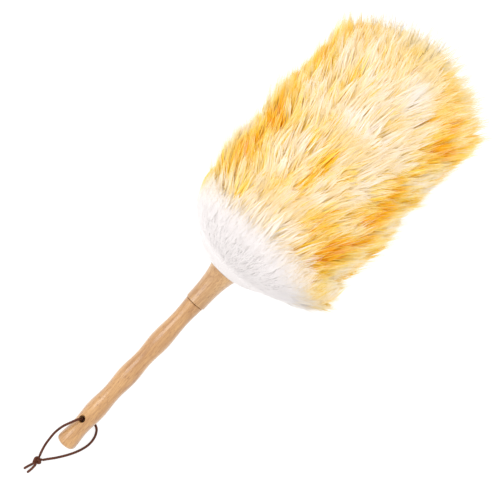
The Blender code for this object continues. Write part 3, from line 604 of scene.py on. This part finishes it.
def lockRoots():
    # Rows of locks along the root line, each row with as many as fit round it
    rows = round(rootLength / locks["rowStep"])
    rowShare = (np.arange(rows) + 0.5) / rows
    distance, radius = alongLine(rootLine, rowShare)
    closer = 1 + locks["closer"] * smoothStep(distance, *locks["closerRun"])
    perRow = np.maximum(np.round(2 * math.pi * radius * closer / locks["lockStep"]), 3).astype(int)
    row = np.repeat(np.arange(rows), perRow)
    place = np.arange(len(row)) - np.repeat(np.cumsum(perRow) - perRow, perRow)
    rng = np.random.default_rng(11)
    jitter = locks["jitter"]
    angle = 2 * math.pi * (place + 0.5 * (row % 2) + rng.uniform(-jitter, jitter, len(row))) / perRow[row]
    share = rowShare[row] + rng.uniform(-jitter, jitter, len(row)) / rows
    return share, (angle + math.pi) % (2 * math.pi) - math.pi


def rootPlace(share, angle):
    distance, radius = alongLine(rootLine, np.clip(share, 0, 1))
    fit = fitAt(np.clip(distance, *wool["fitEnds"]), angle)
    return distance, radius * (1 + (fit - 1) * smoothStep(distance, *locks["rootRun"]))


def makeStrands():
    # A lock's strands start spread over its patch of skin and draw together towards its tip
    rng = np.random.default_rng(23)
    share, angle = lockRoots()
    count = len(share)
    distance, radius = rootPlace(share, angle)
    skin = woolPlace(distance, radius, angle)
    atBase = np.exp(-np.clip(distance - locks["baseEdge"], 0, 1) / locks["baseRun"])
    toRight = np.clip(np.sin(angle), 0, 1)
    closing = np.clip(radius / locks["narrow"], 0, 1) ** locks["narrowPower"]
    waver = locks["waver"] * ripple(skin, *ripples["waver"]) + clipped(rng, locks["waverSpread"], count)
    spread = atBase * (locks["baseLean"] + locks["rightLean"] * toRight)
    rootLean = np.radians((locks["leanAtRoot"] + spread) * closing + waver * locks["waverAtRoot"])
    tipLean = np.radians((locks["leanAtTip"] + spread) * closing + waver)
    uneven = (1 + locks["uneven"] * ripple(skin, *ripples["length"])
              + rng.uniform(-locks["unevenSpread"], locks["unevenSpread"], count))
    length = locks["length"] * (1 - locks["baseShorter"] * atBase * (1 - toRight)) * uneven

    # Pile leans out fully at the sides, less on top, where it turns towards the nearer side instead
    nearBase = np.exp(-np.clip(distance - locks["topEdge"], 0, 1) / locks["topRun"])
    topShare = locks["topLean"] + (1 - locks["topLean"]) * nearBase
    outShare = np.sin(angle) ** 2 + topShare * np.cos(angle) ** 2
    turnShare = (1 - topShare) * np.sin(angle) * np.cos(angle)
    leaning = length * (locks["rootShare"] * np.sin(rootLean) + locks["tipShare"] * np.sin(tipLean))
    forward = length * (locks["rootShare"] * np.cos(rootLean) + locks["tipShare"] * np.cos(tipLean))
    sideways = (leaning * turnShare + locks["sideways"] + locks["swerve"] * ripple(skin, *ripples["sideways"])
                + clipped(rng, locks["swerveSpread"], count))

    # Tips drift up the swells, so that neighbouring locks lean together
    tipDistance = distance + forward
    tipAngle = angle + sideways / np.maximum(radius, locks["leastRadius"])
    step, turn = 0.001, 0.01
    climb = (swellAt(tipDistance + step, tipAngle) - swellAt(tipDistance - step, tipAngle)) / (2 * step)
    climbRound = (swellAt(tipDistance, tipAngle + turn) - swellAt(tipDistance, tipAngle - turn)) / (2 * turn)
    inPile = smoothStep(distance, *locks["pileRun"])
    tipDistance = tipDistance + locks["drift"] * climb * inPile
    tipAngle = tipAngle + locks["driftRound"] * climbRound * inPile
    atTip = smoothStep(distance, *locks["tipRun"])
    reach = (locks["reach"] + locks["reachRipple"] * ripple(skin, *ripples["reach"])
             + rng.uniform(*locks["reachSpread"], count))
    held = atTip * rng.uniform(0, 1, count)
    reach = reach - locks["heldIn"] * held
    tipRadius = radius + leaning * outShare

    # A tip past the outline is drawn back along its own lock until it is inside
    kept = np.ones(count)
    for _ in range(locks["draws"]):
        hereDistance = distance + kept * (tipDistance - distance)
        hereRadius = radius + kept * (tipRadius - radius)
        outside = hereRadius > reachAt(hereDistance + locks["heldAhead"] * held, tipAngle) * reach
        kept = np.where(outside, kept * locks["drawn"], kept)
    tipDistance = distance + kept * (tipDistance - distance)
    tipRadius = radius + kept * (tipRadius - radius)
    length = length * kept

    # Strands of every lock
    lock = np.repeat(np.arange(count), hairs["each"])
    total = len(lock)
    offAlong = rng.uniform(-hairs["patch"], hairs["patch"], total) * locks["rowStep"]
    offAround = rng.uniform(-hairs["patch"], hairs["patch"], total) * locks["lockStep"]
    inCore = 1 - np.clip(np.hypot(offAlong, offAround) / (hairs["core"] * locks["lockStep"]), 0, 1)
    strandAngle = angle[lock] + offAround / np.maximum(radius[lock], hairs["leastRadius"])
    start = woolPlace(*rootPlace(share[lock] + offAlong / rootLength, strandAngle), strandAngle)
    gather = rng.uniform(*hairs["gather"], count)[lock]
    endAngle = tipAngle[lock] + gather * offAround / np.maximum(tipRadius[lock], locks["leastRadius"])
    endDistance = tipDistance[lock] + gather * offAlong + clipped(rng, hairs["endSpread"], total)
    fullEnd = woolPlace(endDistance, tipRadius[lock] * rng.uniform(*hairs["endReach"], total), endAngle)
    grown = hairs["grown"] + hairs["coreGrown"] * inCore + rng.uniform(*hairs["grownSpread"], total)
    stray = rng.uniform(0, 1, total) < hairs["strays"]
    strayGrown = rng.uniform(*hairs["strayGrown"], total) * (1 + hairs["strayAtTip"] * atTip[lock])
    grown = np.where(stray, strayGrown, np.clip(grown, *hairs["grownLimits"]))
    end = start + (fullEnd - start) * grown[:, None]
    tangent = np.cos(strandAngle)[:, None] * aside - np.sin(strandAngle)[:, None] * upward
    lean = rootLean[lock][:, None]
    leanTo = outShare[lock][:, None] * outwardAt(strandAngle) + turnShare[lock][:, None] * tangent
    rise = (hairs["bend"] * grown * length[lock])[:, None]
    bend = start + rise * (np.cos(lean) * along + np.sin(lean) * leanTo)
    broad = rng.uniform(0, 1, total) ** hairs["finePower"] * (1 - stray)
    thick = hairs["finest"] + (hairs["broadest"] - hairs["finest"]) * broad
    tone = np.clip(hairs["tone"] + hairs["toneRipple"] * ripple(start, *ripples["tone"])
                   + rng.normal(0, hairs["toneSpread"], total)
                   + rng.normal(0, hairs["lockTone"], count)[lock], 0, 1)
    golden = np.where(rng.uniform(0, 1, total) < hairs["golden"], rng.uniform(*hairs["goldenDye"], total),
                      rng.uniform(*hairs["plainDye"], total))
    wander = np.stack([
        clipped(rng, hairs["dyeAlong"][0], total) + clipped(rng, hairs["dyeAlong"][1], count)[lock],
        clipped(rng, hairs["dyeRound"], total) + clipped(rng, hairs["dyeRound"], count)[lock],
        np.clip(rng.normal(hairs["dyed"], hairs["dyedSpread"], total)
                + clipped(rng, hairs["lockDyed"], count)[lock], *hairs["dyedLimits"]),
        clipped(rng, hairs["whiteAlong"], total), golden, hairs["strayWhite"] * stray], -1)
    made = []
    for number in range(locks["pieces"]):
        mine = lock % locks["pieces"] == number
        shape = [values[mine] for values in (start, bend, end, thick, tone, wander)]
        made.append(growStrands(f"woolLocks_{number + 1}", *shape, 100 + number, hairs["crimp"]))
    return made


# Short white strands laid along the base; steps: share of the way ahead, lift, share of the turn
baseHairs = {"count": 12000, "thick": 0.00020, "thickSpread": (0.6, 1.2), "crimp": 0.0003, "even": 0.90,
             "last": 0.90, "ahead": (0.14, 0.26), "turn": 0.05, "longer": 0.24, "longerPower": 1.5,
             "longerRun": (0.45, 0.85), "fits": (0.90, 1.06), "past": 0.06,
             "steps": ((0.0, -0.0005, 0.0), (0.5, 0.0003, 0.4), (1.0, 0.0002, 1.0)), "dyeAlong": 0.004,
             "dyeRound": 0.04, "dyed": 0.9, "dyedSpread": 0.3, "whiteAlong": 0.005, "leastDye": (0, 0.08)}


def makeBaseStrands():
    # Each goes from the skin to a little way on and out, further where the pile takes over
    rng = np.random.default_rng(31)
    count = baseHairs["count"]
    share = rng.uniform(0, 1, count) ** baseHairs["even"] * baseHairs["last"]
    angle = rng.uniform(-math.pi, math.pi, count)
    ahead = rng.uniform(*baseHairs["ahead"], count)
    turn = clipped(rng, baseHairs["turn"], count)
    longer = baseHairs["longer"] * rng.uniform(0, 1, count) ** baseHairs["longerPower"]
    ahead = ahead + longer * smoothStep(share, *baseHairs["longerRun"])
    places = []
    for step, lift, turned in baseHairs["steps"]:
        onward, here = share + step * ahead, angle + turned * turn
        distance, radius = alongLine(domeLine, np.minimum(onward, 1.0))
        fit = reachAt(distance, here) / np.interp(distance, domeLine[:, 0], domeLine[:, 1])
        fit = np.clip(fit, *baseHairs["fits"])
        facing = np.clip(onward, 0, 1)
        places.append(woolPlace(distance - lift * (1 - facing), (radius + lift * facing) * fit, here))
    start, bend, end = places
    end = end + np.clip(share + ahead - 1, 0, 1)[:, None] * baseHairs["past"] * along
    thick = baseHairs["thick"] * rng.uniform(*baseHairs["thickSpread"], count)
    wander = np.stack([
        clipped(rng, baseHairs["dyeAlong"], count), clipped(rng, baseHairs["dyeRound"], count),
        np.clip(rng.normal(baseHairs["dyed"], baseHairs["dyedSpread"], count), *hairs["dyedLimits"]),
        clipped(rng, baseHairs["whiteAlong"], count), rng.uniform(*baseHairs["leastDye"], count),
        np.zeros(count)], -1)
    tone = rng.uniform(0, 1, count)
    return growStrands("woolBase", start, bend, end, thick, tone, wander, 41, baseHairs["crimp"])


# Lumpy wool under the strands, with a bore for the wound core; its raised dye floor paints a warm yellow
# shade where it shows between the strands
under = {"around": 192, "rows": 72, "sunk": (0.0010, -0.0006), "lip": (0.2669, 0.0184), "mouth": 0.2709,
         "mouthRadius": 0.0186, "rodEnd": 0.5756, "roof": 0.0003, "roofRadius": 0.0006, "bore": 0.0101,
         "innermost": 0.0187, "fitRun": (0.290, 0.330), "lumps": 0.0006, "swell": -0.0024,
         "lumpRun": (0.300, 0.330), "lumpRadius": 0.012, "lowest": 0.0030, "dye": 0.20, "dyed": 0.70,
         "tone": 0.6}


def makeUnderwool():
    # Ring radius follows the base's line, then a share of the tips' reach
    angle = np.linspace(-math.pi, math.pi, under["around"], endpoint=False)[None, :]
    base = domeLine[:7] + under["sunk"]
    base[0] = under["lip"]
    bore = [(under["rodEnd"] + under["roof"], under["roofRadius"]), (under["rodEnd"], under["bore"]),
            (under["mouth"], under["bore"]), (under["mouth"], under["mouthRadius"])]
    skin = np.stack(alongLine(underLine, np.linspace(0, 1, under["rows"])), -1)
    line = np.vstack([bore, base, skin])
    distance, radius = line[:, :1] + 0 * angle, line[:, 1:] + 0 * angle
    fit = fitAt(np.minimum(distance, wool["fitEnds"][1]), angle)
    fitted = radius * (1 + (fit - 1) * smoothStep(distance, *under["fitRun"]))
    radius = np.where(radius > under["innermost"], fitted, radius)
    lumps = under["lumps"] * ripple(woolPlace(distance, radius, angle), *ripples["lumps"])
    lumps = lumps + under["swell"] * swellAt(distance, angle)
    radius = radius + lumps * smoothStep(distance, *under["lumpRun"]) * (radius > under["lumpRadius"])
    piece = tubesPiece("underwool", [aboveFloor(woolPlace(distance, radius, angle), under["lowest"])])
    mesh = piece.data
    points = np.zeros(len(mesh.vertices) * 3, np.float32)
    mesh.vertices.foreach_get("co", points)
    distance, radius, turned = woolCoordinates(points.reshape(-1, 3).astype(float))
    # The dye pattern on a raised floor of dye: painted warm shade in the gaps between strands
    dye = under["dye"] + under["dyed"] * dyeAt(distance, turned)
    addNumbers(mesh, dye=dye, pale=paleAt(distance, turned), tone=np.full(len(distance), under["tone"]),
               depth=depthAt(distance, radius, turned))
    return piece


underwool = makeUnderwool()
woolBase = makeBaseStrands()
woolLocks = makeStrands()
print("wool grown:", sum(len(piece.data.vertices) for piece in woolLocks) // strandPoints, "strands")


# Materials
def fillSockets(tree, node, sockets):
    # Each socket gets a number, a colour or another node's output
    for key, value in sockets.items():
        socket = node.inputs[key]
        if isinstance(value, bpy.types.NodeSocket):
            tree.links.new(value, socket)
        else:
            socket.default_value = (*value, 1) if socket.type == "RGBA" else value


def addNode(tree, kind, sockets=None, **settings):
    node = tree.nodes.new("ShaderNode" + kind)
    for key, value in settings.items():
        setattr(node, key, value)
    fillSockets(tree, node, sockets or {})
    return node


def addMath(tree, operation, first, second=0.5, third=0.5, clamp=False):
    sockets = {0: first, 1: second, 2: third}
    return addNode(tree, "Math", sockets, operation=operation, use_clamp=clamp).outputs[0]


def addVectors(tree, operation, sockets):
    return addNode(tree, "VectorMath", sockets, operation=operation).outputs[0]


def mixColours(tree, share, first, second, blend="MIX"):
    node = addNode(tree, "Mix", {0: share, 6: first, 7: second}, data_type="RGBA", blend_type=blend)
    return node.outputs[2]


def addRamp(tree, value, stops, interpolation="LINEAR"):
    ramp = addNode(tree, "ValToRGB", {"Fac": value})
    ramp.color_ramp.interpolation = interpolation
    elements = ramp.color_ramp.elements
    elements[0].position, elements[1].position = stops[0][0], stops[-1][0]
    elements[0].color, elements[1].color = (*stops[0][1], 1), (*stops[-1][1], 1)
    for place, colour in stops[1:-1]:
        elements.new(place).color = (*colour, 1)
    return ramp.outputs["Color"]


def remap(tree, value, low, high, toLow=0.0, toHigh=1.0):
    return addNode(tree, "MapRange", {0: value, 1: low, 2: high, 3: toLow, 4: toHigh}).outputs[0]


def addNoise(tree, vector, scale, detail=3.0, roughness=0.5):
    return addNode(tree, "TexNoise", {"Vector": vector, "Scale": scale, "Detail": detail,
                                      "Roughness": roughness}).outputs["Fac"]


def stretch(tree, vector, scale):
    return addNode(tree, "Mapping", {"Vector": vector, "Scale": scale}).outputs[0]


def fromAxis(tree, parts):
    # sqrt(y^2 + z^2)
    squares = [addMath(tree, "POWER", parts[i], 2.0) for i in (1, 2)]
    return addMath(tree, "SQRT", addMath(tree, "ADD", *squares))


surface = {"Color": "colour", "Roughness": "value", "Height": "value"}


def startGroup(name, inputs, outputs):
    # A shader node group with named sockets, and the nodes at its two ends
    group = bpy.data.node_groups.new(name, "ShaderNodeTree")
    kinds = {"value": "NodeSocketFloat", "colour": "NodeSocketColor", "vector": "NodeSocketVector"}
    for side, sockets in (("INPUT", inputs), ("OUTPUT", outputs)):
        for socketName, kind in sockets.items():
            group.interface.new_socket(socketName, in_out=side, socket_type=kinds[kind])
    return group, group.nodes.new("NodeGroupInput"), group.nodes.new("NodeGroupOutput")


def useGroup(tree, shader, group, sockets):
    # A group's colour and roughness into the shader
    given = addNode(tree, "Group", sockets, node_tree=group).outputs
    fillSockets(tree, shader, {"Base Color": given["Color"], "Roughness": given["Roughness"]})
    return given


def startMaterial(name, sockets):
    material = bpy.data.materials.new(name)
    material.use_nodes = True
    shader = material.node_tree.nodes["Principled BSDF"]
    fillSockets(material.node_tree, shader, sockets)
    return material, material.node_tree, shader


def addBump(tree, shader, height, strength, distance):
    bump = addNode(tree, "Bump", {"Strength": strength, "Distance": distance, "Height": height})
    tree.links.new(bump.outputs["Normal"], shader.inputs["Normal"])


def objectPlace(tree):
    return addNode(tree, "TexCoord").outputs["Object"]


def dusterPlace(tree):
    # Object coordinates turned onto the duster: x from the butt, y across, z up from the axis
    tilt = math.atan2(along[2], along[0])
    return addNode(tree, "Mapping", {"Vector": objectPlace(tree), "Location": tuple(butt),
                                     "Rotation": (0, -tilt, 0)}, vector_type="TEXTURE").outputs[0]


def makeSurface(name, group, look, place, coat, sockets):
    # A group's colour, roughness and height on a shader, with the shader's and the bump's settings
    material, tree, shader = startMaterial(name, {"Coat Weight": coat, **look["shader"]})
    given = useGroup(tree, shader, group, {"Place": place(tree), **sockets})
    addBump(tree, shader, given["Height"], *look["bump"])
    return material


def seenMask(tree):
    # One on rays from the camera, also mirrored or through glass, none on the light between things
    path = addNode(tree, "LightPath").outputs
    return addMath(tree, "MAXIMUM", path["Is Camera Ray"],
                   addMath(tree, "MAXIMUM", path["Is Glossy Ray"], path["Is Transmission Ray"]))


# Turned beech: rings about a pith beside the piece, fine pores as short dashes along it
beech = {"warp": (9, 45, 45), "warped": 0.006, "taper": 0.035, "ringsPerMetre": 420.0, "late": 0.22,
         "dashes": (150, 1250, 1250), "dash": 0.80, "dashColour": (0.30, 0.120, 0.040),
         "dashRoughness": 0.14, "streaks": (22, 520, 520), "streak": 0.42, "clouds": (14, 60, 60),
         "shader": {"Coat Roughness": 0.24, "IOR": 1.5}, "bump": (0.10, 0.0001)}


def makeBeechGroup():
    group, start, end = startGroup(
        "beechGrain", {"Place": "vector", "Pith": "vector", "Light": "colour", "Dark": "colour"}, surface)
    place = start.outputs["Place"]
    warp = addNode(group, "TexNoise", {"Vector": stretch(group, place, beech["warp"]), "Scale": 1.0,
                                       "Detail": 2.0}).outputs["Color"]
    warped = addVectors(group, "SCALE", {0: warp, "Scale": beech["warped"]})
    moved = addVectors(group, "ADD", {0: place, 1: warped})
    centred = addVectors(group, "SUBTRACT", {0: moved, 1: start.outputs["Pith"]})
    parts = addNode(group, "SeparateXYZ", {0: centred}).outputs
    taper = addMath(group, "MULTIPLY", parts[0], beech["taper"])
    fromPith = addMath(group, "ADD", fromAxis(group, parts), taper)
    ring = addMath(group, "FRACT", addMath(group, "MULTIPLY", fromPith, beech["ringsPerMetre"]))
    late = addRamp(group, ring, [(0.0, (0.0, 0.0, 0.0)), (0.62, (0.22, 0.22, 0.22)), (0.90, (1.0, 1.0, 1.0)),
                                 (1.0, (0.0, 0.0, 0.0))], "EASE")
    dash = remap(group, addNoise(group, stretch(group, place, beech["dashes"]), 1.0, 2.0, 0.6), 0.54, 0.70)
    streak = addNoise(group, stretch(group, place, beech["streaks"]), 1.0, 3.0, 0.55)
    cloud = addNoise(group, stretch(group, place, beech["clouds"]), 1.0, 2.0)
    streak = addMath(group, "MULTIPLY", remap(group, streak, 0.35, 0.75), beech["streak"])
    share = addMath(group, "MULTIPLY_ADD", late, beech["late"], streak)
    share = addMath(group, "ADD", share, remap(group, cloud, 0.3, 0.7, -0.22, 0.38), clamp=True)
    wood = mixColours(group, share, start.outputs["Light"], start.outputs["Dark"])
    dashed = addMath(group, "MULTIPLY", dash, beech["dash"])
    roughness = remap(group, cloud, 0.2, 0.8, 0.24, 0.36)
    fillSockets(group, end, {
        "Color": mixColours(group, dashed, wood, beech["dashColour"]),
        "Roughness": addMath(group, "MULTIPLY_ADD", dash, beech["dashRoughness"], roughness),
        "Height": addMath(group, "SUBTRACT", 1.0, dash)})
    return group


beechGrain = makeBeechGroup()


def makeBeech(name, pith, light, dark, coat=1.0):
    sockets = {"Pith": pith, "Light": light, "Dark": dark}
    return makeSurface(name, beechGrain, beech, dusterPlace, coat, sockets)


# Metal: fine turning lines round the axis, and dull specks
metal = {"linesAcross": 9000.0, "linesAlong": 7000.0, "specks": 900.0, "roughness": 0.25,
         "bump": (0.25, 0.00005), "shader": {"Metallic": 1.0}}


def makeMetalGroup():
    group, start, end = startGroup(
        "turnedMetal", {"Place": "vector", "Bright": "colour", "Dull": "colour", "Lines": "value"}, surface)
    place = start.outputs["Place"]
    parts = addNode(group, "SeparateXYZ", {0: place}).outputs
    turned = addMath(group, "ADD", addMath(group, "MULTIPLY", fromAxis(group, parts), metal["linesAcross"]),
                     addMath(group, "MULTIPLY", parts[0], metal["linesAlong"]))
    line = addNode(group, "TexNoise", {"W": turned, "Scale": 1.0, "Detail": 2.0},
                   noise_dimensions="1D").outputs["Fac"]
    speck = addNoise(group, place, metal["specks"], 4.0, 0.6)
    dull = remap(group, speck, 0.4, 0.7)
    fillSockets(group, end, {
        "Color": mixColours(group, dull, start.outputs["Bright"], start.outputs["Dull"]),
        "Roughness": addMath(group, "MULTIPLY_ADD", speck, metal["roughness"],
                             addMath(group, "MULTIPLY", line, metal["roughness"])),
        "Height": addMath(group, "MULTIPLY", line, start.outputs["Lines"])})
    return group


turnedMetal = makeMetalGroup()


def makeMetal(name, bright, dull, lines):
    sockets = {"Bright": bright, "Dull": dull, "Lines": lines}
    return makeSurface(name, turnedMetal, metal, dusterPlace, 0.0, sockets)


# Leather and suede: a fibrous nap of coarse and fine noise
hide = {"coarse": 230.0, "fineShare": 0.7, "coarseShare": 0.3, "bump": (0.5, 0.0002),
        "shader": {"Coat Roughness": 0.3, "Specular IOR Level": 0.2}}


def makeHideGroup():
    group, start, end = startGroup(
        "hideNap", {"Place": "vector", "Deep": "colour", "Raised": "colour", "Scale": "value"}, surface)
    place = start.outputs["Place"]
    fine = addNoise(group, place, start.outputs["Scale"], 5.0, 0.62)
    coarse = addMath(group, "MULTIPLY", addNoise(group, place, hide["coarse"], 2.0), hide["coarseShare"])
    share = addMath(group, "MULTIPLY_ADD", fine, hide["fineShare"], coarse)
    raised = remap(group, share, 0.40, 0.62)
    fillSockets(group, end, {
        "Color": mixColours(group, raised, start.outputs["Deep"], start.outputs["Raised"]),
        "Roughness": remap(group, share, 0.3, 0.7, 0.42, 0.62), "Height": share})
    return group


hideNap = makeHideGroup()


def makeHide(name, deep, raised, scale, coat):
    sockets = {"Deep": deep, "Raised": raised, "Scale": scale}
    return makeSurface(name, hideNap, hide, objectPlace, coat, sockets)


# Wool: cream through yellow to orange by depth of dye, white at the base, with painted shade, darker and
# yellower, deep in the pile towards the skin
# shadow: the depths over which the painted shade fades out towards the tips; shade: the painted shade's
# colour
woolLook = {"warmth": 0.55, "warm": (1, 0.96, 0.86), "shadow": (0.84, 1.00), "shade": (1, 0.84, 0.42),
            "roughness": (0.60, 0.80), "bump": (0.35, 0.001),
            "shader": {"Sheen Weight": 0.06, "Sheen Roughness": 0.5, "Specular IOR Level": 0.15}}


def makeWoolGroup():
    group, start, end = startGroup(
        "dyedWool", {"Dye": "value", "Pale": "value", "Tone": "value", "Depth": "value", "White": "colour"},
        {"Color": "colour", "Roughness": "value"})
    dyed = addRamp(group, start.outputs["Dye"], [
        (0.0, (1.0, 0.925, 0.890)), (0.14, (1.0, 0.875, 0.650)), (0.30, (1.0, 0.785, 0.215)),
        (0.52, (1.0, 0.640, 0.038)), (0.80, (1.0, 0.490, 0.008)), (1.0, (0.94, 0.360, 0.005))])
    warmth = remap(group, start.outputs["Tone"], 0.0, 1.0, 0.0, woolLook["warmth"])
    creamy = mixColours(group, warmth, (1, 1, 1), woolLook["warm"])
    dyed = mixColours(group, 1.0, dyed, creamy, "MULTIPLY")
    whole = mixColours(group, start.outputs["Pale"], dyed, start.outputs["White"])
    # Painted shade: deep in the pile the colour is multiplied by a darker yellow, fading out towards the tips
    # and left off the pale wool
    shaded = remap(group, start.outputs["Depth"], *woolLook["shadow"])
    shade = mixColours(group, shaded, woolLook["shade"], (1, 1, 1))
    shadeOffPale = mixColours(group, start.outputs["Pale"], shade, (1, 1, 1))
    fillSockets(group, end, {
        "Color": mixColours(group, 1.0, whole, shadeOffPale, "MULTIPLY"),
        "Roughness": remap(group, start.outputs["Tone"], 0.0, 1.0, *woolLook["roughness"])})
    return group


dyedWool = makeWoolGroup()


def makeWool(name, white, bumpScale=None):
    material, tree, shader = startMaterial(name, woolLook["shader"])
    sockets = {key.capitalize(): addNode(tree, "Attribute", attribute_name=key).outputs["Fac"]
               for key in ("dye", "pale", "tone", "depth")}
    useGroup(tree, shader, dyedWool, {**sockets, "White": white})
    if bumpScale:
        lumps = addNoise(tree, objectPlace(tree), bumpScale, 5.0, 0.65)
        addBump(tree, shader, lumps, *woolLook["bump"])
    return material


beechHandle = makeBeech("beechHandle", (0.0, 0.030, -0.022), (0.630, 0.352, 0.132), (0.335, 0.138, 0.036))
beechCollar = makeBeech("beechCollar", (0.0, -0.020, -0.024), (0.650, 0.390, 0.165), (0.35, 0.155, 0.048))
beechCore = makeBeech("beechCore", (0.0, 0.012, 0.010), (0.68, 0.46, 0.270), (0.52, 0.31, 0.160), coat=0.0)
zincSteel = makeMetal("zincSteel", (0.66, 0.66, 0.64), (0.52, 0.53, 0.54), 0.6)
brass = makeMetal("brass", (0.80, 0.60, 0.26), (0.66, 0.46, 0.18), 0.8)
sheepskin = makeHide("sheepskin", (0.62, 0.50, 0.36), (0.84, 0.76, 0.62), 900.0, 0.0)
laceLeather = makeHide("laceLeather", (0.055, 0.013, 0.005), (0.135, 0.035, 0.013), 1500.0, 0.05)
lockWool = makeWool("lockWool", (0.945, 0.898, 0.878))
baseWool = makeWool("baseWool", (0.955, 0.911, 0.903))
# The underwool's white is darker than the strands': painted shade, so that it looks shaded where it shows
# between them
underWool = makeWool("underWool", (0.800, 0.762, 0.756), 900.0)
print("materials made")


def dress(piece, material, body=None, standsFor=()):
    # One material on a piece, its slot, and for a new piece its body and the solids it stands for
    piece.data.materials.clear()
    piece.data.materials.append(material)
    if body:
        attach(piece, body)
    if standsFor:
        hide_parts(*standsFor)


for nodeName, material, slotName in (
        ("handle", beechHandle, "beech"), ("collar", beechCollar, "beech"), ("core_rod", beechCore, "beech"),
        ("seat_washer", zincSteel, "zinc_steel"), ("threaded_insert", brass, "brass"),
        ("pelt_strip", sheepskin, "sheepskin"),
        *((f"pelt_tack_{number}", zincSteel, "zinc_steel") for number in range(1, 5))):
    dress(bpy.data.objects[nodeName], material)
dress(threadedStud, zincSteel, "handle", ["hanger_stud"])
dress(laceFront, laceLeather, "handle", ["lace_front"])
dress(laceBack, laceLeather, "handle", ["lace_back"])
dress(laceKnot, laceLeather, "handle", ["lace_knot", "lace_tail_upper", "lace_tail_lower"])
dress(underwool, underWool, "head", ["fleece"])
dress(woolBase, baseWool, "head")
for piece in woolLocks:
    dress(piece, lockWool, "head")

print("pieces dressed")


# Floor and light
floorLook = {"size": 6.0, "drop": 0.0002, "specks": 40.0, "bounce": (0.35, 0.35, 0.35), "glow": 0.76}
stageLight = {"world": 1.12, "aim": (0.06, 0.0, 0.05)}


def makeFloor():
    half, low = floorLook["size"] / 2, -floorLook["drop"]
    mesh = bpy.data.meshes.new("floor")
    mesh.from_pydata([(-half, -half, low), (half, -half, low), (half, half, low), (-half, half, low)],
                     [], [(0, 1, 2, 3)])
    floor = addObject("floor", mesh)
    material, tree, shader = startMaterial("paleFloor", {"Roughness": 0.9, "Specular IOR Level": 0.0,
                                                         "Emission Color": (1, 1, 1)})
    seen = seenMask(tree)
    speck = addNoise(tree, objectPlace(tree), floorLook["specks"])
    plain = addRamp(tree, speck, [(0.0, (0.86, 0.86, 0.86)), (1.0, (0.90, 0.90, 0.90))])
    fillSockets(tree, shader, {"Base Color": mixColours(tree, seen, plain, floorLook["bounce"]),
                               "Emission Strength": addMath(tree, "MULTIPLY", seen, floorLook["glow"])})
    mesh.materials.append(material)


def makeLamp(name, place, size, watts):
    data = bpy.data.lights.new(name, "AREA")
    data.shape, data.size, data.energy = "SQUARE", size, watts
    lamp = addObject(name, data)
    lamp.location = place
    lamp.rotation_euler = (Vector(stageLight["aim"]) - Vector(place)).to_track_quat("-Z", "Y").to_euler()


def makeWorld():
    world = bpy.data.worlds.new("paleRoom")
    world.use_nodes = True
    tree = world.node_tree
    strength = remap(tree, seenMask(tree), 0.0, 1.0, stageLight["world"], 1.0)
    fillSockets(tree, tree.nodes["Background"], {"Strength": strength, "Color": (1, 1, 1)})
    bpy.context.scene.world = world


makeFloor()
makeWorld()
makeLamp("keyLamp", (-0.35, 0.95, 1.35), 0.8, 6.8)
makeLamp("fillLamp", (1.20, -0.30, 0.80), 1.4, 5.0)
bpy.context.scene.view_settings.view_transform = "Standard"
print("floor and light set")
